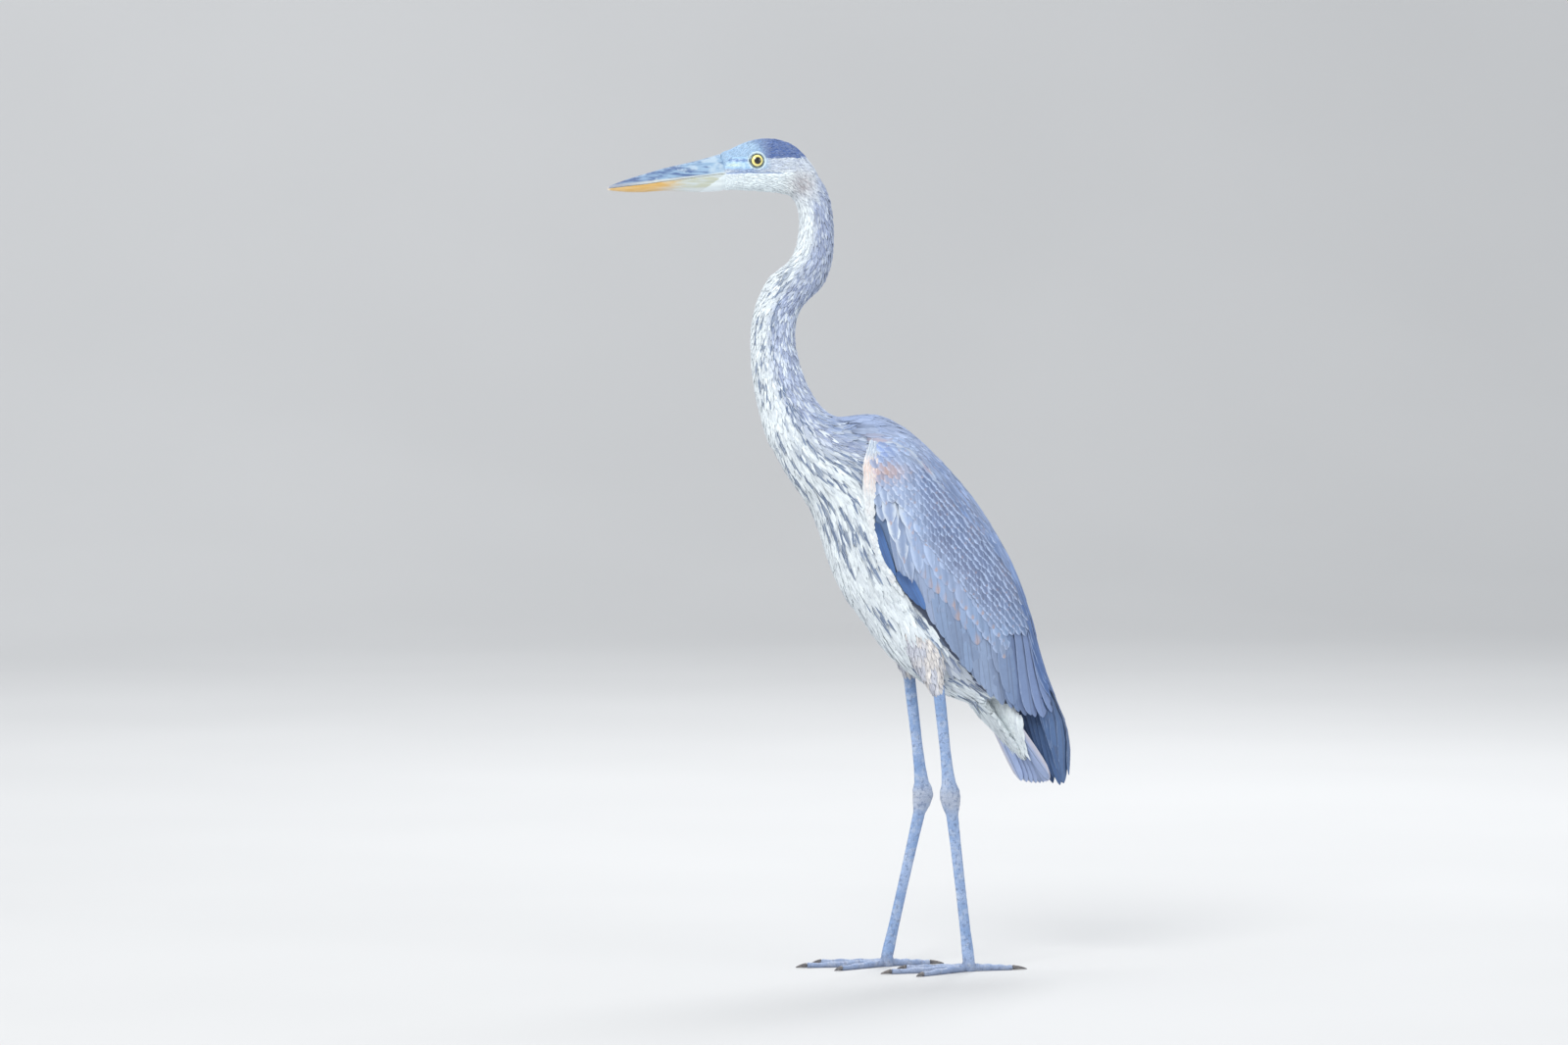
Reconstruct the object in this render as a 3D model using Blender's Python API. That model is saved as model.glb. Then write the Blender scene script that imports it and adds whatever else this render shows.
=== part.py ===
"""A young great blue heron standing on both feet, as the solids of a life-size model.

The bird faces -X with its left side toward -Y, and its feet stand on Z = 0. The body is a row of rings
from the bill's root to the wing tips. Head, neck, trunk and folded wings are all lofts on those rings.
"""

import math

import bmesh
import bpy
from mathutils import Vector

# Driving dimensions. Tables and lengths are in millimetres, angles in degrees.
MM = 0.001
GAP = 0.3
SIDES = {"left": -1.0, "right": 1.0}

BODY_CORNERS = 24
RINGS_PER_PLACE = 2
DORSAL_FULLNESS = 0.1

EYE_RADIUS = 9.0
EYE_PLACE = (-102.7, 14.5, 914.2)

WING_STRIPS = 8
WING_SINK = 4.0
WING_EDGE = 1.4
WING_TIP_THICKNESS = 5.0

TAIL_DROOP = math.radians(54.4)
TAIL_LENGTH = 122.0
TAIL_ROOT_SHARE = 0.6
TAIL_HALF_WIDTH = 36.0
TAIL_THICKNESS = 7.0
TAIL_ARCH = 13.0
TAIL_CORNERS = 20
TAIL_PLAN = [(0.0, 0.72), (0.2, 0.84), (0.45, 0.95), (0.7, 1.0), (0.86, 0.97), (0.95, 0.8), (1.0, 0.5)]
UNDERTAIL_LENGTH = 92.0
UNDERTAIL_HALF_WIDTH = 33.0

STANCE_HALF_WIDTH = 38.0
TARSUS_LENGTH = 186.0
FOOT_HEIGHT = 12.0
FOOT_RADIUS = 8.5
LEG_CORNERS = 14

TOE_BASE_RADIUS = 4.6
TOE_TIP_RADIUS = 3.1
TOE_FLAT = 0.86
TOE_STEPS = 6
TOE_CORNERS = 8
CLAW_STEPS = 4

# Body rings: place, throat or belly edge (x, z), nape or back edge (x, z), half width.
BODY_RINGS = [
    ("bill_root", -136.5, 880.0, -141.0, 921.4, 12.5),
    ("forehead", -123.9, 880.0, -128.4, 927.7, 16.5),
    ("lores", -110.1, 879.7, -112.4, 934.7, 20.0),
    ("crown", -96.4, 878.9, -88.4, 939.7, 22.0),
    ("ear", -82.7, 877.5, -60.9, 935.0, 22.5),
    ("nape", -70.1, 876.7, -41.5, 919.6, 21.0),
    ("throat", -55.2, 869.0, -17.4, 885.5, 19.0),
    ("neck_top", -48.9, 845.9, -8.3, 852.5, 18.0),
    ("upper_neck", -54.1, 812.9, -7.7, 814.0, 19.0),
    ("upper_bend", -65.5, 797.5, -11.7, 792.0, 20.5),
    ("kink", -82.7, 785.4, -20.9, 771.1, 22.0),
    ("below_kink", -95.3, 764.5, -38.0, 756.8, 22.0),
    ("slim_neck", -102.1, 744.7, -49.5, 740.3, 21.5),
    ("fore_bend", -105.6, 720.5, -52.9, 716.1, 22.0),
    ("mid_neck", -105.6, 691.9, -48.3, 689.7, 23.0),
    ("low_neck", -102.1, 662.2, -39.2, 664.4, 25.5),
    ("neck_root", -96.4, 634.7, -25.4, 641.3, 29.5),
    ("neck_base", -87.2, 603.9, -9.4, 628.1, 36.0),
    ("mantle", -74.7, 577.5, 6.6, 625.9, 44.0),
    ("shoulders", -57.5, 550.0, 42.1, 629.2, 54.0),
    ("chest", -36.9, 522.5, 78.7, 610.5, 60.0),
    ("breast", -23.2, 487.3, 115.3, 577.5, 64.0),
    ("keel", -11.7, 453.2, 147.4, 540.1, 65.0),
    ("mid_back", 4.3, 421.3, 173.7, 502.7, 64.0),
    ("belly", 27.2, 390.5, 195.4, 465.3, 61.0),
    ("flank", 53.5, 357.5, 210.0, 430.0, 57.0),
    ("thigh_line", 84.0, 331.0, 222.0, 395.0, 51.0),
    ("rump", 119.0, 310.0, 229.5, 365.5, 44.0),
    ("tail_root", 153.0, 298.5, 239.5, 334.0, 38.0),
    ("tertial_tips", 207.0, 286.0, 253.0, 298.0, 32.0),
    ("primaries", 222.0, 264.0, 264.0, 276.0, 27.0),
    ("primary_bulge", 231.0, 238.7, 270.5, 246.4, 20.0),
    ("near_the_tip", 246.0, 220.0, 269.5, 225.5, 12.0),
    ("wing_tip", 258.0, 211.2, 263.0, 212.3, 5.0),
]
PLACE = {row[0]: index for index, row in enumerate(BODY_RINGS)}

# Where the body is parted into nodes, as places along the rings.
NECK_CUTS = {
    "neck_upper": (PLACE["nape"] + 0.5, PLACE["upper_bend"] + 0.5),
    "neck_middle": (PLACE["upper_bend"] + 0.5, PLACE["fore_bend"] + 0.5),
    "neck_lower": (PLACE["fore_bend"] + 0.5, PLACE["neck_base"] + 0.5),
}

# Folded wing: place along the rings, upper edge and leading edge as angles from the back's ridge, thickness.
WING_ROWS = [
    (PLACE["shoulders"] + 0.3, 56.0, 72.0, 3.0),
    (PLACE["shoulders"] + 0.5, 44.0, 86.0, 6.5),
    (PLACE["shoulders"] + 0.9, 32.0, 100.0, 10.0),
    (PLACE["chest"] + 0.6, 22.0, 110.0, 12.0),
    (PLACE["keel"] + 0.0, 13.0, 118.0, 12.0),
    (PLACE["belly"] + 0.0, 9.0, 118.0, 11.0),
    (PLACE["thigh_line"] + 0.0, 6.0, 115.0, 9.0),
    (PLACE["tail_root"] + 0.0, 2.5, 126.0, 7.0),
    (PLACE["tertial_tips"] + 0.0, 1.5, 134.0, 5.5),
]
WING_TIP_SPAN = (2.0, 140.0)

# Bill rings: lower edge (x, z), culmen (x, z), share of the height below the gape, half width.
BILL_RINGS = [
    (-136.8, 880.0, -141.3, 921.4, 0.47, 12.2),
    (-162.0, 878.8, -162.5, 915.2, 0.49, 10.0),
    (-184.5, 879.5, -184.5, 910.2, 0.46, 8.5),
    (-206.0, 880.6, -206.0, 905.5, 0.42, 7.0),
    (-228.0, 879.0, -228.0, 899.3, 0.44, 5.5),
    (-249.0, 879.2, -249.0, 893.2, 0.46, 4.0),
    (-270.5, 881.4, -271.5, 885.0, 0.45, 1.2),
]

# Each leg: foot (x, z), lean of the tarsus from upright, knee end of the bare shank (x, z), thigh top (x, z).
LEGS = {
    "left": {"foot": (140.0, 12.3), "lean": 6.8, "bare_top": (105.6, 308.0), "thigh_top": (80.0, 392.0)},
    "right": {"foot": (66.7, 12.3), "lean": -13.2, "bare_top": (93.5, 322.0), "thigh_top": (84.0, 398.0)},
}

# Toes: heading from straight ahead (outward positive), length of the toe, length of the claw.
TOES = {
    "middle": (4.0, 84.0, 13.0),
    "outer": (31.0, 68.0, 11.0),
    "inner": (-27.0, 62.0, 11.0),
    "hind": (178.0, 42.0, 17.0),
}

COLOURS = {
    "plumage": ((0.42, 0.45, 0.52), 0.8),
    "neck": ((0.55, 0.52, 0.54), 0.8),
    "white_down": ((0.78, 0.77, 0.72), 0.85),
    "flight_feathers": ((0.16, 0.19, 0.25), 0.6),
    "upper_bill": ((0.22, 0.28, 0.36), 0.4),
    "lower_bill": ((0.8, 0.5, 0.16), 0.4),
    "iris": ((0.85, 0.72, 0.12), 0.1),
    "thigh_down": ((0.66, 0.52, 0.44), 0.85),
    "leg_skin": ((0.36, 0.4, 0.44), 0.55),
    "claw": ((0.16, 0.15, 0.14), 0.4),
}


def clear_scene():
    for thing in list(bpy.data.objects):
        bpy.data.objects.remove(thing, do_unlink=True)


def new_collection(name, hidden):
    made = bpy.data.collections.new(name)
    made.hide_render = hidden
    bpy.context.scene.collection.children.link(made)
    return made


def material(kind):
    found = bpy.data.materials.get(kind)
    if found:
        return found
    colour, roughness = COLOURS[kind]
    made = bpy.data.materials.new(kind)
    made.use_nodes = True
    shader = made.node_tree.nodes["Principled BSDF"]
    shader.inputs["Base Color"].default_value = (*colour, 1.0)
    shader.inputs["Roughness"].default_value = roughness
    shader.inputs["Metallic"].default_value = 0.0
    return made


def smooth_row(rows, at):
    """The values at a place between a table's rows, on a smooth curve through them all."""
    index = min(max(int(at), 0), len(rows) - 2)
    f = at - index
    last = len(rows) - 1
    four = [rows[min(max(index + step, 0), last)] for step in (-1, 0, 1, 2)]
    return [
        0.5 * (2 * b + (c - a) * f + (2 * a - 5 * b + 4 * c - d) * f**2 + (3 * b - a - 3 * c + d) * f**3)
        for a, b, c, d in zip(*four)
    ]


def between(rows, at):
    """The values of a table whose first column is the place, eased from row to row."""
    if at <= rows[0][0]:
        return list(rows[0][1:])
    for lower, upper in zip(rows, rows[1:]):
        if at <= upper[0]:
            share = (at - lower[0]) / (upper[0] - lower[0])
            return [a + (b - a) * share for a, b in zip(lower[1:], upper[1:])]
    return list(rows[-1][1:])


def steps(start, end, count):
    return [start + (end - start) * index / count for index in range(count + 1)]


def loft(name, rings, kind, collection):
    """A closed skin through rings of equally many corners, with a flat cap on each end."""
    mesh = bpy.data.meshes.new(name)
    shape = bmesh.new()
    loops = [[shape.verts.new(point * MM) for point in ring] for ring in rings]
    for lower, upper in zip(loops, loops[1:]):
        for index in range(len(lower)):
            after = (index + 1) % len(lower)
            shape.faces.new((lower[index], lower[after], upper[after], upper[index]))
    shape.faces.new(loops[0])
    shape.faces.new(loops[-1])
    bmesh.ops.recalc_face_normals(shape, faces=shape.faces)
    shape.to_mesh(mesh)
    shape.free()
    mesh.shade_smooth()
    mesh.set_sharp_from_angle(angle=math.radians(50.0))
    mesh.materials.append(material(kind))
    made = bpy.data.objects.new(name, mesh)
    collection.objects.link(made)
    return made


def cut(target, cutter):
    """Takes the cutter's room out of the target."""
    cutter.hide_render = True
    cutter.display_type = "WIRE"
    boolean = target.modifiers.new("clear_of_" + cutter.name, "BOOLEAN")
    boolean.operation = "DIFFERENCE"
    boolean.solver = "EXACT"
    boolean.object = cutter


def flatten_sole(thing):
    """Cuts the shape off at the floor, leaving a small flat to stand on."""
    shape = bmesh.new()
    shape.from_mesh(thing.data)
    everything = shape.verts[:] + shape.edges[:] + shape.faces[:]
    bmesh.ops.bisect_plane(
        shape, geom=everything, plane_co=(0, 0, 0), plane_no=(0, 0, -1), clear_outer=True, dist=1e-7
    )
    rim = [edge for edge in shape.edges if edge.is_boundary]
    bmesh.ops.contextual_create(shape, geom=rim)
    bmesh.ops.recalc_face_normals(shape, faces=shape.faces)
    shape.to_mesh(thing.data)
    shape.free()


def body_section(at):
    """Middle, half depth toward the back, half width and plane normal of the body's ring at a place."""
    front_x, front_z, back_x, back_z, half_width = smooth_row([row[1:] for row in BODY_RINGS], at)
    front, back = Vector((front_x, 0.0, front_z)), Vector((back_x, 0.0, back_z))
    depth = (back - front) / 2.0
    normal = depth.cross(Vector((0.0, 1.0, 0.0))).normalized()
    return (front + back) / 2.0, depth, half_width, normal


def body_point(at, angle, side, lift):
    """A point over the body's surface, at an angle from the back's ridge, lifted off it by a distance."""
    middle, depth, half_width, _ = body_section(at)
    turn = math.radians(angle)
    width = half_width * (1.0 + DORSAL_FULLNESS * math.cos(turn))
    out = Vector((math.cos(turn) / depth.length, math.sin(turn) / width)).normalized() * lift
    along = depth.normalized() * (math.cos(turn) * depth.length + out.x)
    return middle + along + Vector((0.0, side * (math.sin(turn) * width + out.y), 0.0))


def body_ring(at, grow=0.0):
    half = BODY_CORNERS // 2
    right = [body_point(at, angle, 1.0, grow) for angle in steps(0.0, 180.0, half)]
    left = [body_point(at, angle, -1.0, grow) for angle in steps(180.0, 0.0, half)]
    return right + left[1:-1]


def body_length(name, start, end, kind, collection, grow=0.0):
    """One length of the body, drawn in at both ends so that it clears its neighbours."""
    count = max(2, round((end - start) * RINGS_PER_PLACE))
    rings = [body_ring(at, grow) for at in steps(start, end, count)]
    inset = GAP / 2.0 - grow
    toward = body_section((start + end) / 2.0)[0] - body_section(start)[0]
    for ring, place, sense in ((rings[0], start, 1.0), (rings[-1], end, -1.0)):
        normal = body_section(place)[3]
        if normal.dot(toward) < 0.0:
            normal = -normal
        ring[:] = [point + normal * inset * sense for point in ring]
    return loft(name, rings, kind, collection)


def bill_half(name, above, kind, collection):
    """The upper or the lower bill, flat along the gape and drawn in to the tip."""
    rings = []
    for place in steps(0.0, len(BILL_RINGS) - 1.0, 2 * (len(BILL_RINGS) - 1)):
        low_x, low_z, top_x, top_z, gape, half_width = smooth_row(BILL_RINGS, place)
        low, top = Vector((low_x, 0.0, low_z)), Vector((top_x, 0.0, top_z))
        sense = 1.0 if above else -1.0
        line = low.lerp(top, gape) + (top - low).normalized() * sense * GAP / 2.0
        reach = (top if above else low) - line
        ring = []
        for angle in steps(0.0, 180.0, 8):
            turn = math.radians(angle)
            ring.append(
                line
                + reach * math.sin(turn) ** 1.15
                + Vector((0.0, half_width * math.cos(turn), 0.0))
            )
        rings.append(ring)
    return loft(name, rings, kind, collection)


def eye(name, side, kind, collection, grow=0.0):
    mesh = bpy.data.meshes.new(name)
    shape = bmesh.new()
    bmesh.ops.create_uvsphere(shape, u_segments=14, v_segments=8, radius=(EYE_RADIUS + grow) * MM)
    shape.to_mesh(mesh)
    shape.free()
    mesh.shade_smooth()
    mesh.materials.append(material(kind))
    made = bpy.data.objects.new(name, mesh)
    x, y, z = EYE_PLACE
    made.location = Vector((x, y * side, z)) * MM
    made.rotation_euler = (math.radians(90.0), 0.0, 0.0)
    collection.objects.link(made)
    return made


def wing_profile(across):
    """Thickness across the folded wing: thin over the back, full and rounded at the leading edge."""
    rise = (across * (2.0 - across)) ** 0.8
    roll = math.sqrt(max(0.0, 1.0 - max(0.0, (across - 0.82) / 0.18) ** 2))
    return rise * roll


def wing_ring(at, side, span, thickness, grow):
    upper, leading = span
    overrun = math.degrees(grow / body_section(at)[1].length)
    angles = steps(upper - overrun, leading + overrun, WING_STRIPS)
    outer = []
    for index, angle in enumerate(angles):
        lift = WING_EDGE + (thickness - WING_EDGE) * wing_profile(index / WING_STRIPS)
        outer.append(body_point(at, angle, side, lift + grow))
    inner = [body_point(at, angle, side, -WING_SINK) for angle in reversed(angles)]
    return outer + inner


def wing(name, side, kind, collection, grow=0.0):
    first, last = WING_ROWS[0][0], WING_ROWS[-1][0]
    rings = []
    for at in steps(first, last, 17):
        upper, leading, thickness = between(WING_ROWS, at)
        rings.append(wing_ring(at, side, (upper, leading), thickness, grow))
    return loft(name, rings, kind, collection)


def wing_tip(name, side, kind, collection):
    """The folded primaries past the tertials, narrowing to the wing's tip."""
    first, last = WING_ROWS[-1][0] + 0.03, PLACE["wing_tip"]
    rings = []
    for at in steps(first, last, 7):
        share = (at - first) / (last - first)
        thickness = WING_TIP_THICKNESS * (1.0 - 0.6 * share)
        ring = wing_ring(at, side, WING_TIP_SPAN, thickness, 0.0)
        rings.append(ring)
    return loft(name, rings, kind, collection)


def tail_frame():
    """Root, direction and underside normal of the tail, and the outward normal of the trunk's rear face."""
    middle, depth, _, face = body_section(PLACE["tail_root"])
    direction = Vector((math.cos(TAIL_DROOP), 0.0, -math.sin(TAIL_DROOP)))
    under = Vector((direction.z, 0.0, -direction.x))
    root = middle - depth * TAIL_ROOT_SHARE
    return root, direction, under, face if face.dot(direction) > 0.0 else -face


def tail(name, kind, collection, grow=0.0):
    """The closed tail fan: a thin arched blade, wider toward its rounded end."""
    root, direction, under, face = tail_frame()
    rings = []
    for along, spread in TAIL_PLAN:
        half_width = TAIL_HALF_WIDTH * spread + grow
        thickness = TAIL_THICKNESS * (1.0 - 0.62 * along) + 2.0 * grow
        ring = []
        for angle in steps(0.0, 360.0, TAIL_CORNERS)[:-1]:
            turn = math.radians(angle)
            across = math.cos(turn)
            height = thickness / 2.0 * math.sin(turn)
            drop = TAIL_ARCH * across * across * (0.4 + 0.6 * along)
            centre = root + direction * (TAIL_LENGTH * along + grow * along)
            point = centre + under * (drop - TAIL_THICKNESS / 2.0 + height)
            ring.append(point + Vector((0.0, half_width * across, 0.0)))
        rings.append(ring)
    for index, point in enumerate(rings[0]):
        short = face.dot(root - point) / face.dot(direction)
        rings[0][index] = point + direction * (short + GAP)
    return loft(name, rings, kind, collection)


def undertail(name, kind, collection):
    """The wedge of soft white feathers under the tail's root."""
    root, direction, under, face = tail_frame()
    middle, depth, _, _ = body_section(PLACE["tail_root"])
    belly = middle - depth
    start = belly + face * GAP
    depth_at_root = (root - belly).length - GAP
    along_face = (root - belly).normalized()
    rings = []
    for along in (0.0, 0.25, 0.5, 0.75, 0.93):
        fade = 1.0 - along**1.5
        height = max(depth_at_root * fade, 3.0)
        half_width = UNDERTAIL_HALF_WIDTH * (0.12 + 0.88 * fade)
        top = start + along_face * depth_at_root + direction * UNDERTAIL_LENGTH * along
        low = top - along_face.lerp(-under, along).normalized() * height
        ring = []
        for angle in steps(0.0, 360.0, 16)[:-1]:
            turn = math.radians(angle)
            point = low.lerp(top, 0.5 + 0.5 * math.cos(turn))
            ring.append(point + Vector((0.0, half_width * math.sin(turn), 0.0)))
        rings.append(ring)
    return loft(name, rings, kind, collection)


def tube(name, path, widths, depths, kind, collection, corners=LEG_CORNERS, level_end=False):
    """A round or oval limb along a path: widths are half widths across it, depths half depths."""
    rings = []
    for index, point in enumerate(path):
        before, after = path[max(index - 1, 0)], path[min(index + 1, len(path) - 1)]
        forward = (after - before).normalized()
        across = forward.cross(Vector((0.0, 0.0, 1.0)))
        if abs(forward.z) > 0.7:
            across = Vector((0.0, 1.0, 0.0))
        across = (across - forward * across.dot(forward)).normalized()
        up = across.cross(forward).normalized()
        ring = []
        for angle in steps(0.0, 360.0, corners)[:-1]:
            turn = math.radians(angle)
            ring.append(
                point + across * math.cos(turn) * widths[index] + up * math.sin(turn) * depths[index]
            )
        rings.append(ring)
    if level_end:
        slope = (path[-1] - path[-2]).normalized()
        rings[-1] = [point + slope * (path[-1].z - point.z) / slope.z for point in rings[-1]]
    return loft(name, rings, kind, collection)


def lerp_path(start, end, shares):
    return [start.lerp(end, share) for share in shares]


def leg(side_name, rooms, collection, cutters):
    """Feathered thigh, bare shank, ankle, tarsus and foot of one leg, clear of the rooms given."""
    side = SIDES[side_name]
    plan = LEGS[side_name]
    y = side * STANCE_HALF_WIDTH
    lean = math.radians(plan["lean"])
    foot = Vector((plan["foot"][0], y, plan["foot"][1]))
    ankle = foot + Vector((-math.sin(lean), 0.0, math.cos(lean))) * TARSUS_LENGTH
    bare_top = Vector((plan["bare_top"][0], y, plan["bare_top"][1]))
    thigh_top = Vector((plan["thigh_top"][0], side * 34.0, plan["thigh_top"][1]))

    thigh = tube(
        "thigh_" + side_name,
        lerp_path(thigh_top, bare_top, (0.0, 0.25, 0.5, 0.72, 0.88, 0.975)),
        (15.0, 16.5, 15.5, 12.0, 9.0, 7.4),
        (20.0, 24.0, 21.0, 14.5, 9.8, 7.8),
        "thigh_down",
        collection,
    )
    for room in rooms:
        cut(thigh, room)

    shank_axis = (ankle - bare_top).normalized()
    ankle_top = ankle - shank_axis * 15.0
    tube(
        "shank_" + side_name,
        lerp_path(bare_top, ankle_top, (0.0, 0.3, 0.6, 0.85, 1.0)),
        (5.3, 5.2, 5.0, 5.6, 6.6),
        (6.9, 6.6, 6.2, 7.0, 8.6),
        "leg_skin",
        collection,
    )

    tarsus_axis = (foot - ankle).normalized()
    ankle_end = ankle + tarsus_axis * 19.0
    tube(
        "ankle_" + side_name,
        [
            ankle_top + shank_axis * GAP,
            ankle_top.lerp(ankle, 0.5),
            ankle,
            ankle.lerp(ankle_end, 0.5),
            ankle_end,
        ],
        (6.8, 8.4, 8.6, 7.4, 5.4),
        (8.9, 11.6, 12.2, 10.4, 7.4),
        "leg_skin",
        collection,
    )

    tube(
        "tarsus_" + side_name,
        lerp_path(ankle_end + tarsus_axis * GAP, foot, (0.0, 0.2, 0.5, 0.8, 0.94, 1.0)),
        (5.2, 4.7, 4.4, 4.6, 5.6, 6.0),
        (7.2, 6.4, 6.0, 6.2, 7.0, 7.0),
        "leg_skin",
        collection,
        level_end=True,
    )

    sole = Vector((foot.x, y, 0.0))
    tube(
        "foot_" + side_name,
        lerp_path(sole, sole + Vector((0.0, 0.0, FOOT_HEIGHT - GAP)), (0.0, 0.35, 0.7, 1.0)),
        (FOOT_RADIUS - 1.0, FOOT_RADIUS, FOOT_RADIUS - 0.8, FOOT_RADIUS - 2.4),
        (FOOT_RADIUS - 1.0, FOOT_RADIUS, FOOT_RADIUS - 0.8, FOOT_RADIUS - 1.8),
        "leg_skin",
        collection,
    )
    middle_room = toe("middle_toe_room_" + side_name, side, sole, "middle", cutters, grow=GAP)
    for toe_name in TOES:
        made = toe(f"toe_{toe_name}_{side_name}", side, sole, toe_name, collection)
        if toe_name in ("inner", "outer"):
            cut(made, middle_room)
        claw(f"claw_{toe_name}_{side_name}", side, sole, toe_name, collection)


def toe_line(side, sole, toe_name):
    """Direction of a toe, and its root and tip on the floor."""
    heading, length, _ = TOES[toe_name]
    turn = math.radians(heading)
    ahead = Vector((-math.cos(turn), side * math.sin(turn), 0.0))
    root = sole + ahead * (FOOT_RADIUS + GAP + 0.2)
    return ahead, root, root + ahead * length


def toe(name, side, sole, toe_name, collection, grow=0.0):
    """One toe lying flat on the floor from the foot's rim, with three soft pads under its joints."""
    _, root, tip = toe_line(side, sole, toe_name)
    path, radii = [], []
    for share in steps(0.0, 1.0, TOE_STEPS):
        radius = TOE_BASE_RADIUS + (TOE_TIP_RADIUS - TOE_BASE_RADIUS) * share
        radius += 0.35 * math.cos(share * 3.0 * math.tau)
        path.append(root.lerp(tip, share) + Vector((0.0, 0.0, radius * TOE_FLAT)))
        radii.append(radius + grow)
    made = tube(name, path, radii, radii, "leg_skin", collection, TOE_CORNERS)
    if not grow:
        flatten_sole(made)
    return made


def claw(name, side, sole, toe_name, collection):
    """A claw that curves down from the toe's tip to the floor."""
    ahead, _, tip = toe_line(side, sole, toe_name)
    claw_length = TOES[toe_name][2]
    root = tip + ahead * GAP + Vector((0.0, 0.0, TOE_TIP_RADIUS))
    claw_path, claw_radii = [], []
    for share in steps(0.0, 1.0, CLAW_STEPS):
        radius = 2.5 * (1.0 - share) ** 0.8 + 0.5
        height = root.z * (1.0 - share**1.6) + share * 0.9
        claw_path.append(Vector((root.x, root.y, 0.0)) + ahead * claw_length * share + Vector((0, 0, height)))
        claw_radii.append(radius)
    flatten_sole(tube(name, claw_path, claw_radii, claw_radii, "claw", collection, 8))


def build():
    clear_scene()
    parts = new_collection("heron", hidden=False)
    cutters = new_collection("cutters", hidden=True)

    head = body_length("head", 0.0, NECK_CUTS["neck_upper"][0], "plumage", parts)
    for side_name, side in SIDES.items():
        eye("eye_" + side_name, side, "iris", parts)
        cut(head, eye("eye_room_" + side_name, side, "iris", cutters, grow=GAP))
    bill_half("bill_upper", True, "upper_bill", parts)
    bill_half("bill_lower", False, "lower_bill", parts)

    for name, (start, end) in NECK_CUTS.items():
        body_length(name, start, end, "neck", parts)
    trunk_span = (NECK_CUTS["neck_lower"][1], PLACE["tail_root"])
    body_length("trunk", *trunk_span, "plumage", parts)
    trunk_room = body_length("trunk_room", *trunk_span, "plumage", cutters, grow=GAP)

    tail("tail", "flight_feathers", parts)
    undertail("undertail_coverts", "white_down", parts)
    tail_room = tail("tail_room", "flight_feathers", cutters, grow=GAP)
    for side_name, side in SIDES.items():
        folded = wing("wing_" + side_name, side, "plumage", parts)
        tip = wing_tip("wing_tip_" + side_name, side, "flight_feathers", parts)
        wing_room = wing("wing_room_" + side_name, side, "plumage", cutters, grow=GAP)
        cut(folded, trunk_room)
        cut(folded, tail_room)
        cut(tip, tail_room)
        leg(side_name, (trunk_room, wing_room), parts, cutters)


build()
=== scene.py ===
"""The looks of a young great blue heron: skin, eyes, bill, legs and every feather, made round the solids.

The bird faces -X, its left side is toward -Y and its feet stand on Z = 0. Lengths are in metres.
"""

import math

import bmesh
import bpy
import numpy as np
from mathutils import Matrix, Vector
from mathutils.bvhtree import BVHTree
from mathutils.kdtree import KDTree


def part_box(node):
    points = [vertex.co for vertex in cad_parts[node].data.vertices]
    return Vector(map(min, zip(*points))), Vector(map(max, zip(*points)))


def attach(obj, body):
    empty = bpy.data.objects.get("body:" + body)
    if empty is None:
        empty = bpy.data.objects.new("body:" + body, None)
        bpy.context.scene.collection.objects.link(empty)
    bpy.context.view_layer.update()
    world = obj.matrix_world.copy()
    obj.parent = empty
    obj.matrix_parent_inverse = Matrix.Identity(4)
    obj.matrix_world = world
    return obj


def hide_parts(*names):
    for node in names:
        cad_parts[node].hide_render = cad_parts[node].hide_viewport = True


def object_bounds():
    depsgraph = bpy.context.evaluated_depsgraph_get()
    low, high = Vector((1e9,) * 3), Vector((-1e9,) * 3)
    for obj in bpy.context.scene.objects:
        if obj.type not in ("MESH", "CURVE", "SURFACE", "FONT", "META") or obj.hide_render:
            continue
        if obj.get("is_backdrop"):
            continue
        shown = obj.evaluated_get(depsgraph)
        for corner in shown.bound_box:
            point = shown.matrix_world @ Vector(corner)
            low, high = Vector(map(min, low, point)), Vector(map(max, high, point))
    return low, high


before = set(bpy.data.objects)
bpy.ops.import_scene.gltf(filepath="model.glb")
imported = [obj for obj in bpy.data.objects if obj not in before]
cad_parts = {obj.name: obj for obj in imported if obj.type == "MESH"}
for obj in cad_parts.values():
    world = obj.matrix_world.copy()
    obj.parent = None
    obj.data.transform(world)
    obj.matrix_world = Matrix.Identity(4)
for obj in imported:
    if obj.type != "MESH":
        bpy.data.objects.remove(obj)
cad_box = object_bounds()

# --------------------------------------------------------------------------------------------------
# The camera looks at the bird's breast from the height of its head, a little ahead of its left side.
# It stands a long way off and has a long lens.

CAMERA_AIM = Vector((-0.066, 0.0, 0.508))
CAMERA_AZIMUTH = math.radians(-16.0)
CAMERA_ELEVATION = math.radians(3.0)
CAMERA_DISTANCE = 9.0
LENS = 184.0
SENSOR_WIDTH = 36.0

camera_data = bpy.data.cameras.new("camera")
camera_data.lens = LENS
camera_data.sensor_width = SENSOR_WIDTH
camera_data.clip_end = 40.0
camera = bpy.data.objects.new("camera", camera_data)
bpy.context.scene.collection.objects.link(camera)
toward_bird = Vector((
    -math.sin(CAMERA_AZIMUTH) * math.cos(CAMERA_ELEVATION),
    math.cos(CAMERA_AZIMUTH) * math.cos(CAMERA_ELEVATION),
    -math.sin(CAMERA_ELEVATION),
))
camera.location = CAMERA_AIM - CAMERA_DISTANCE * toward_bird
camera.rotation_euler = toward_bird.to_track_quat("-Z", "Y").to_euler()
bpy.context.scene.camera = camera
bpy.context.scene.view_settings.view_transform = "Standard"

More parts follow.
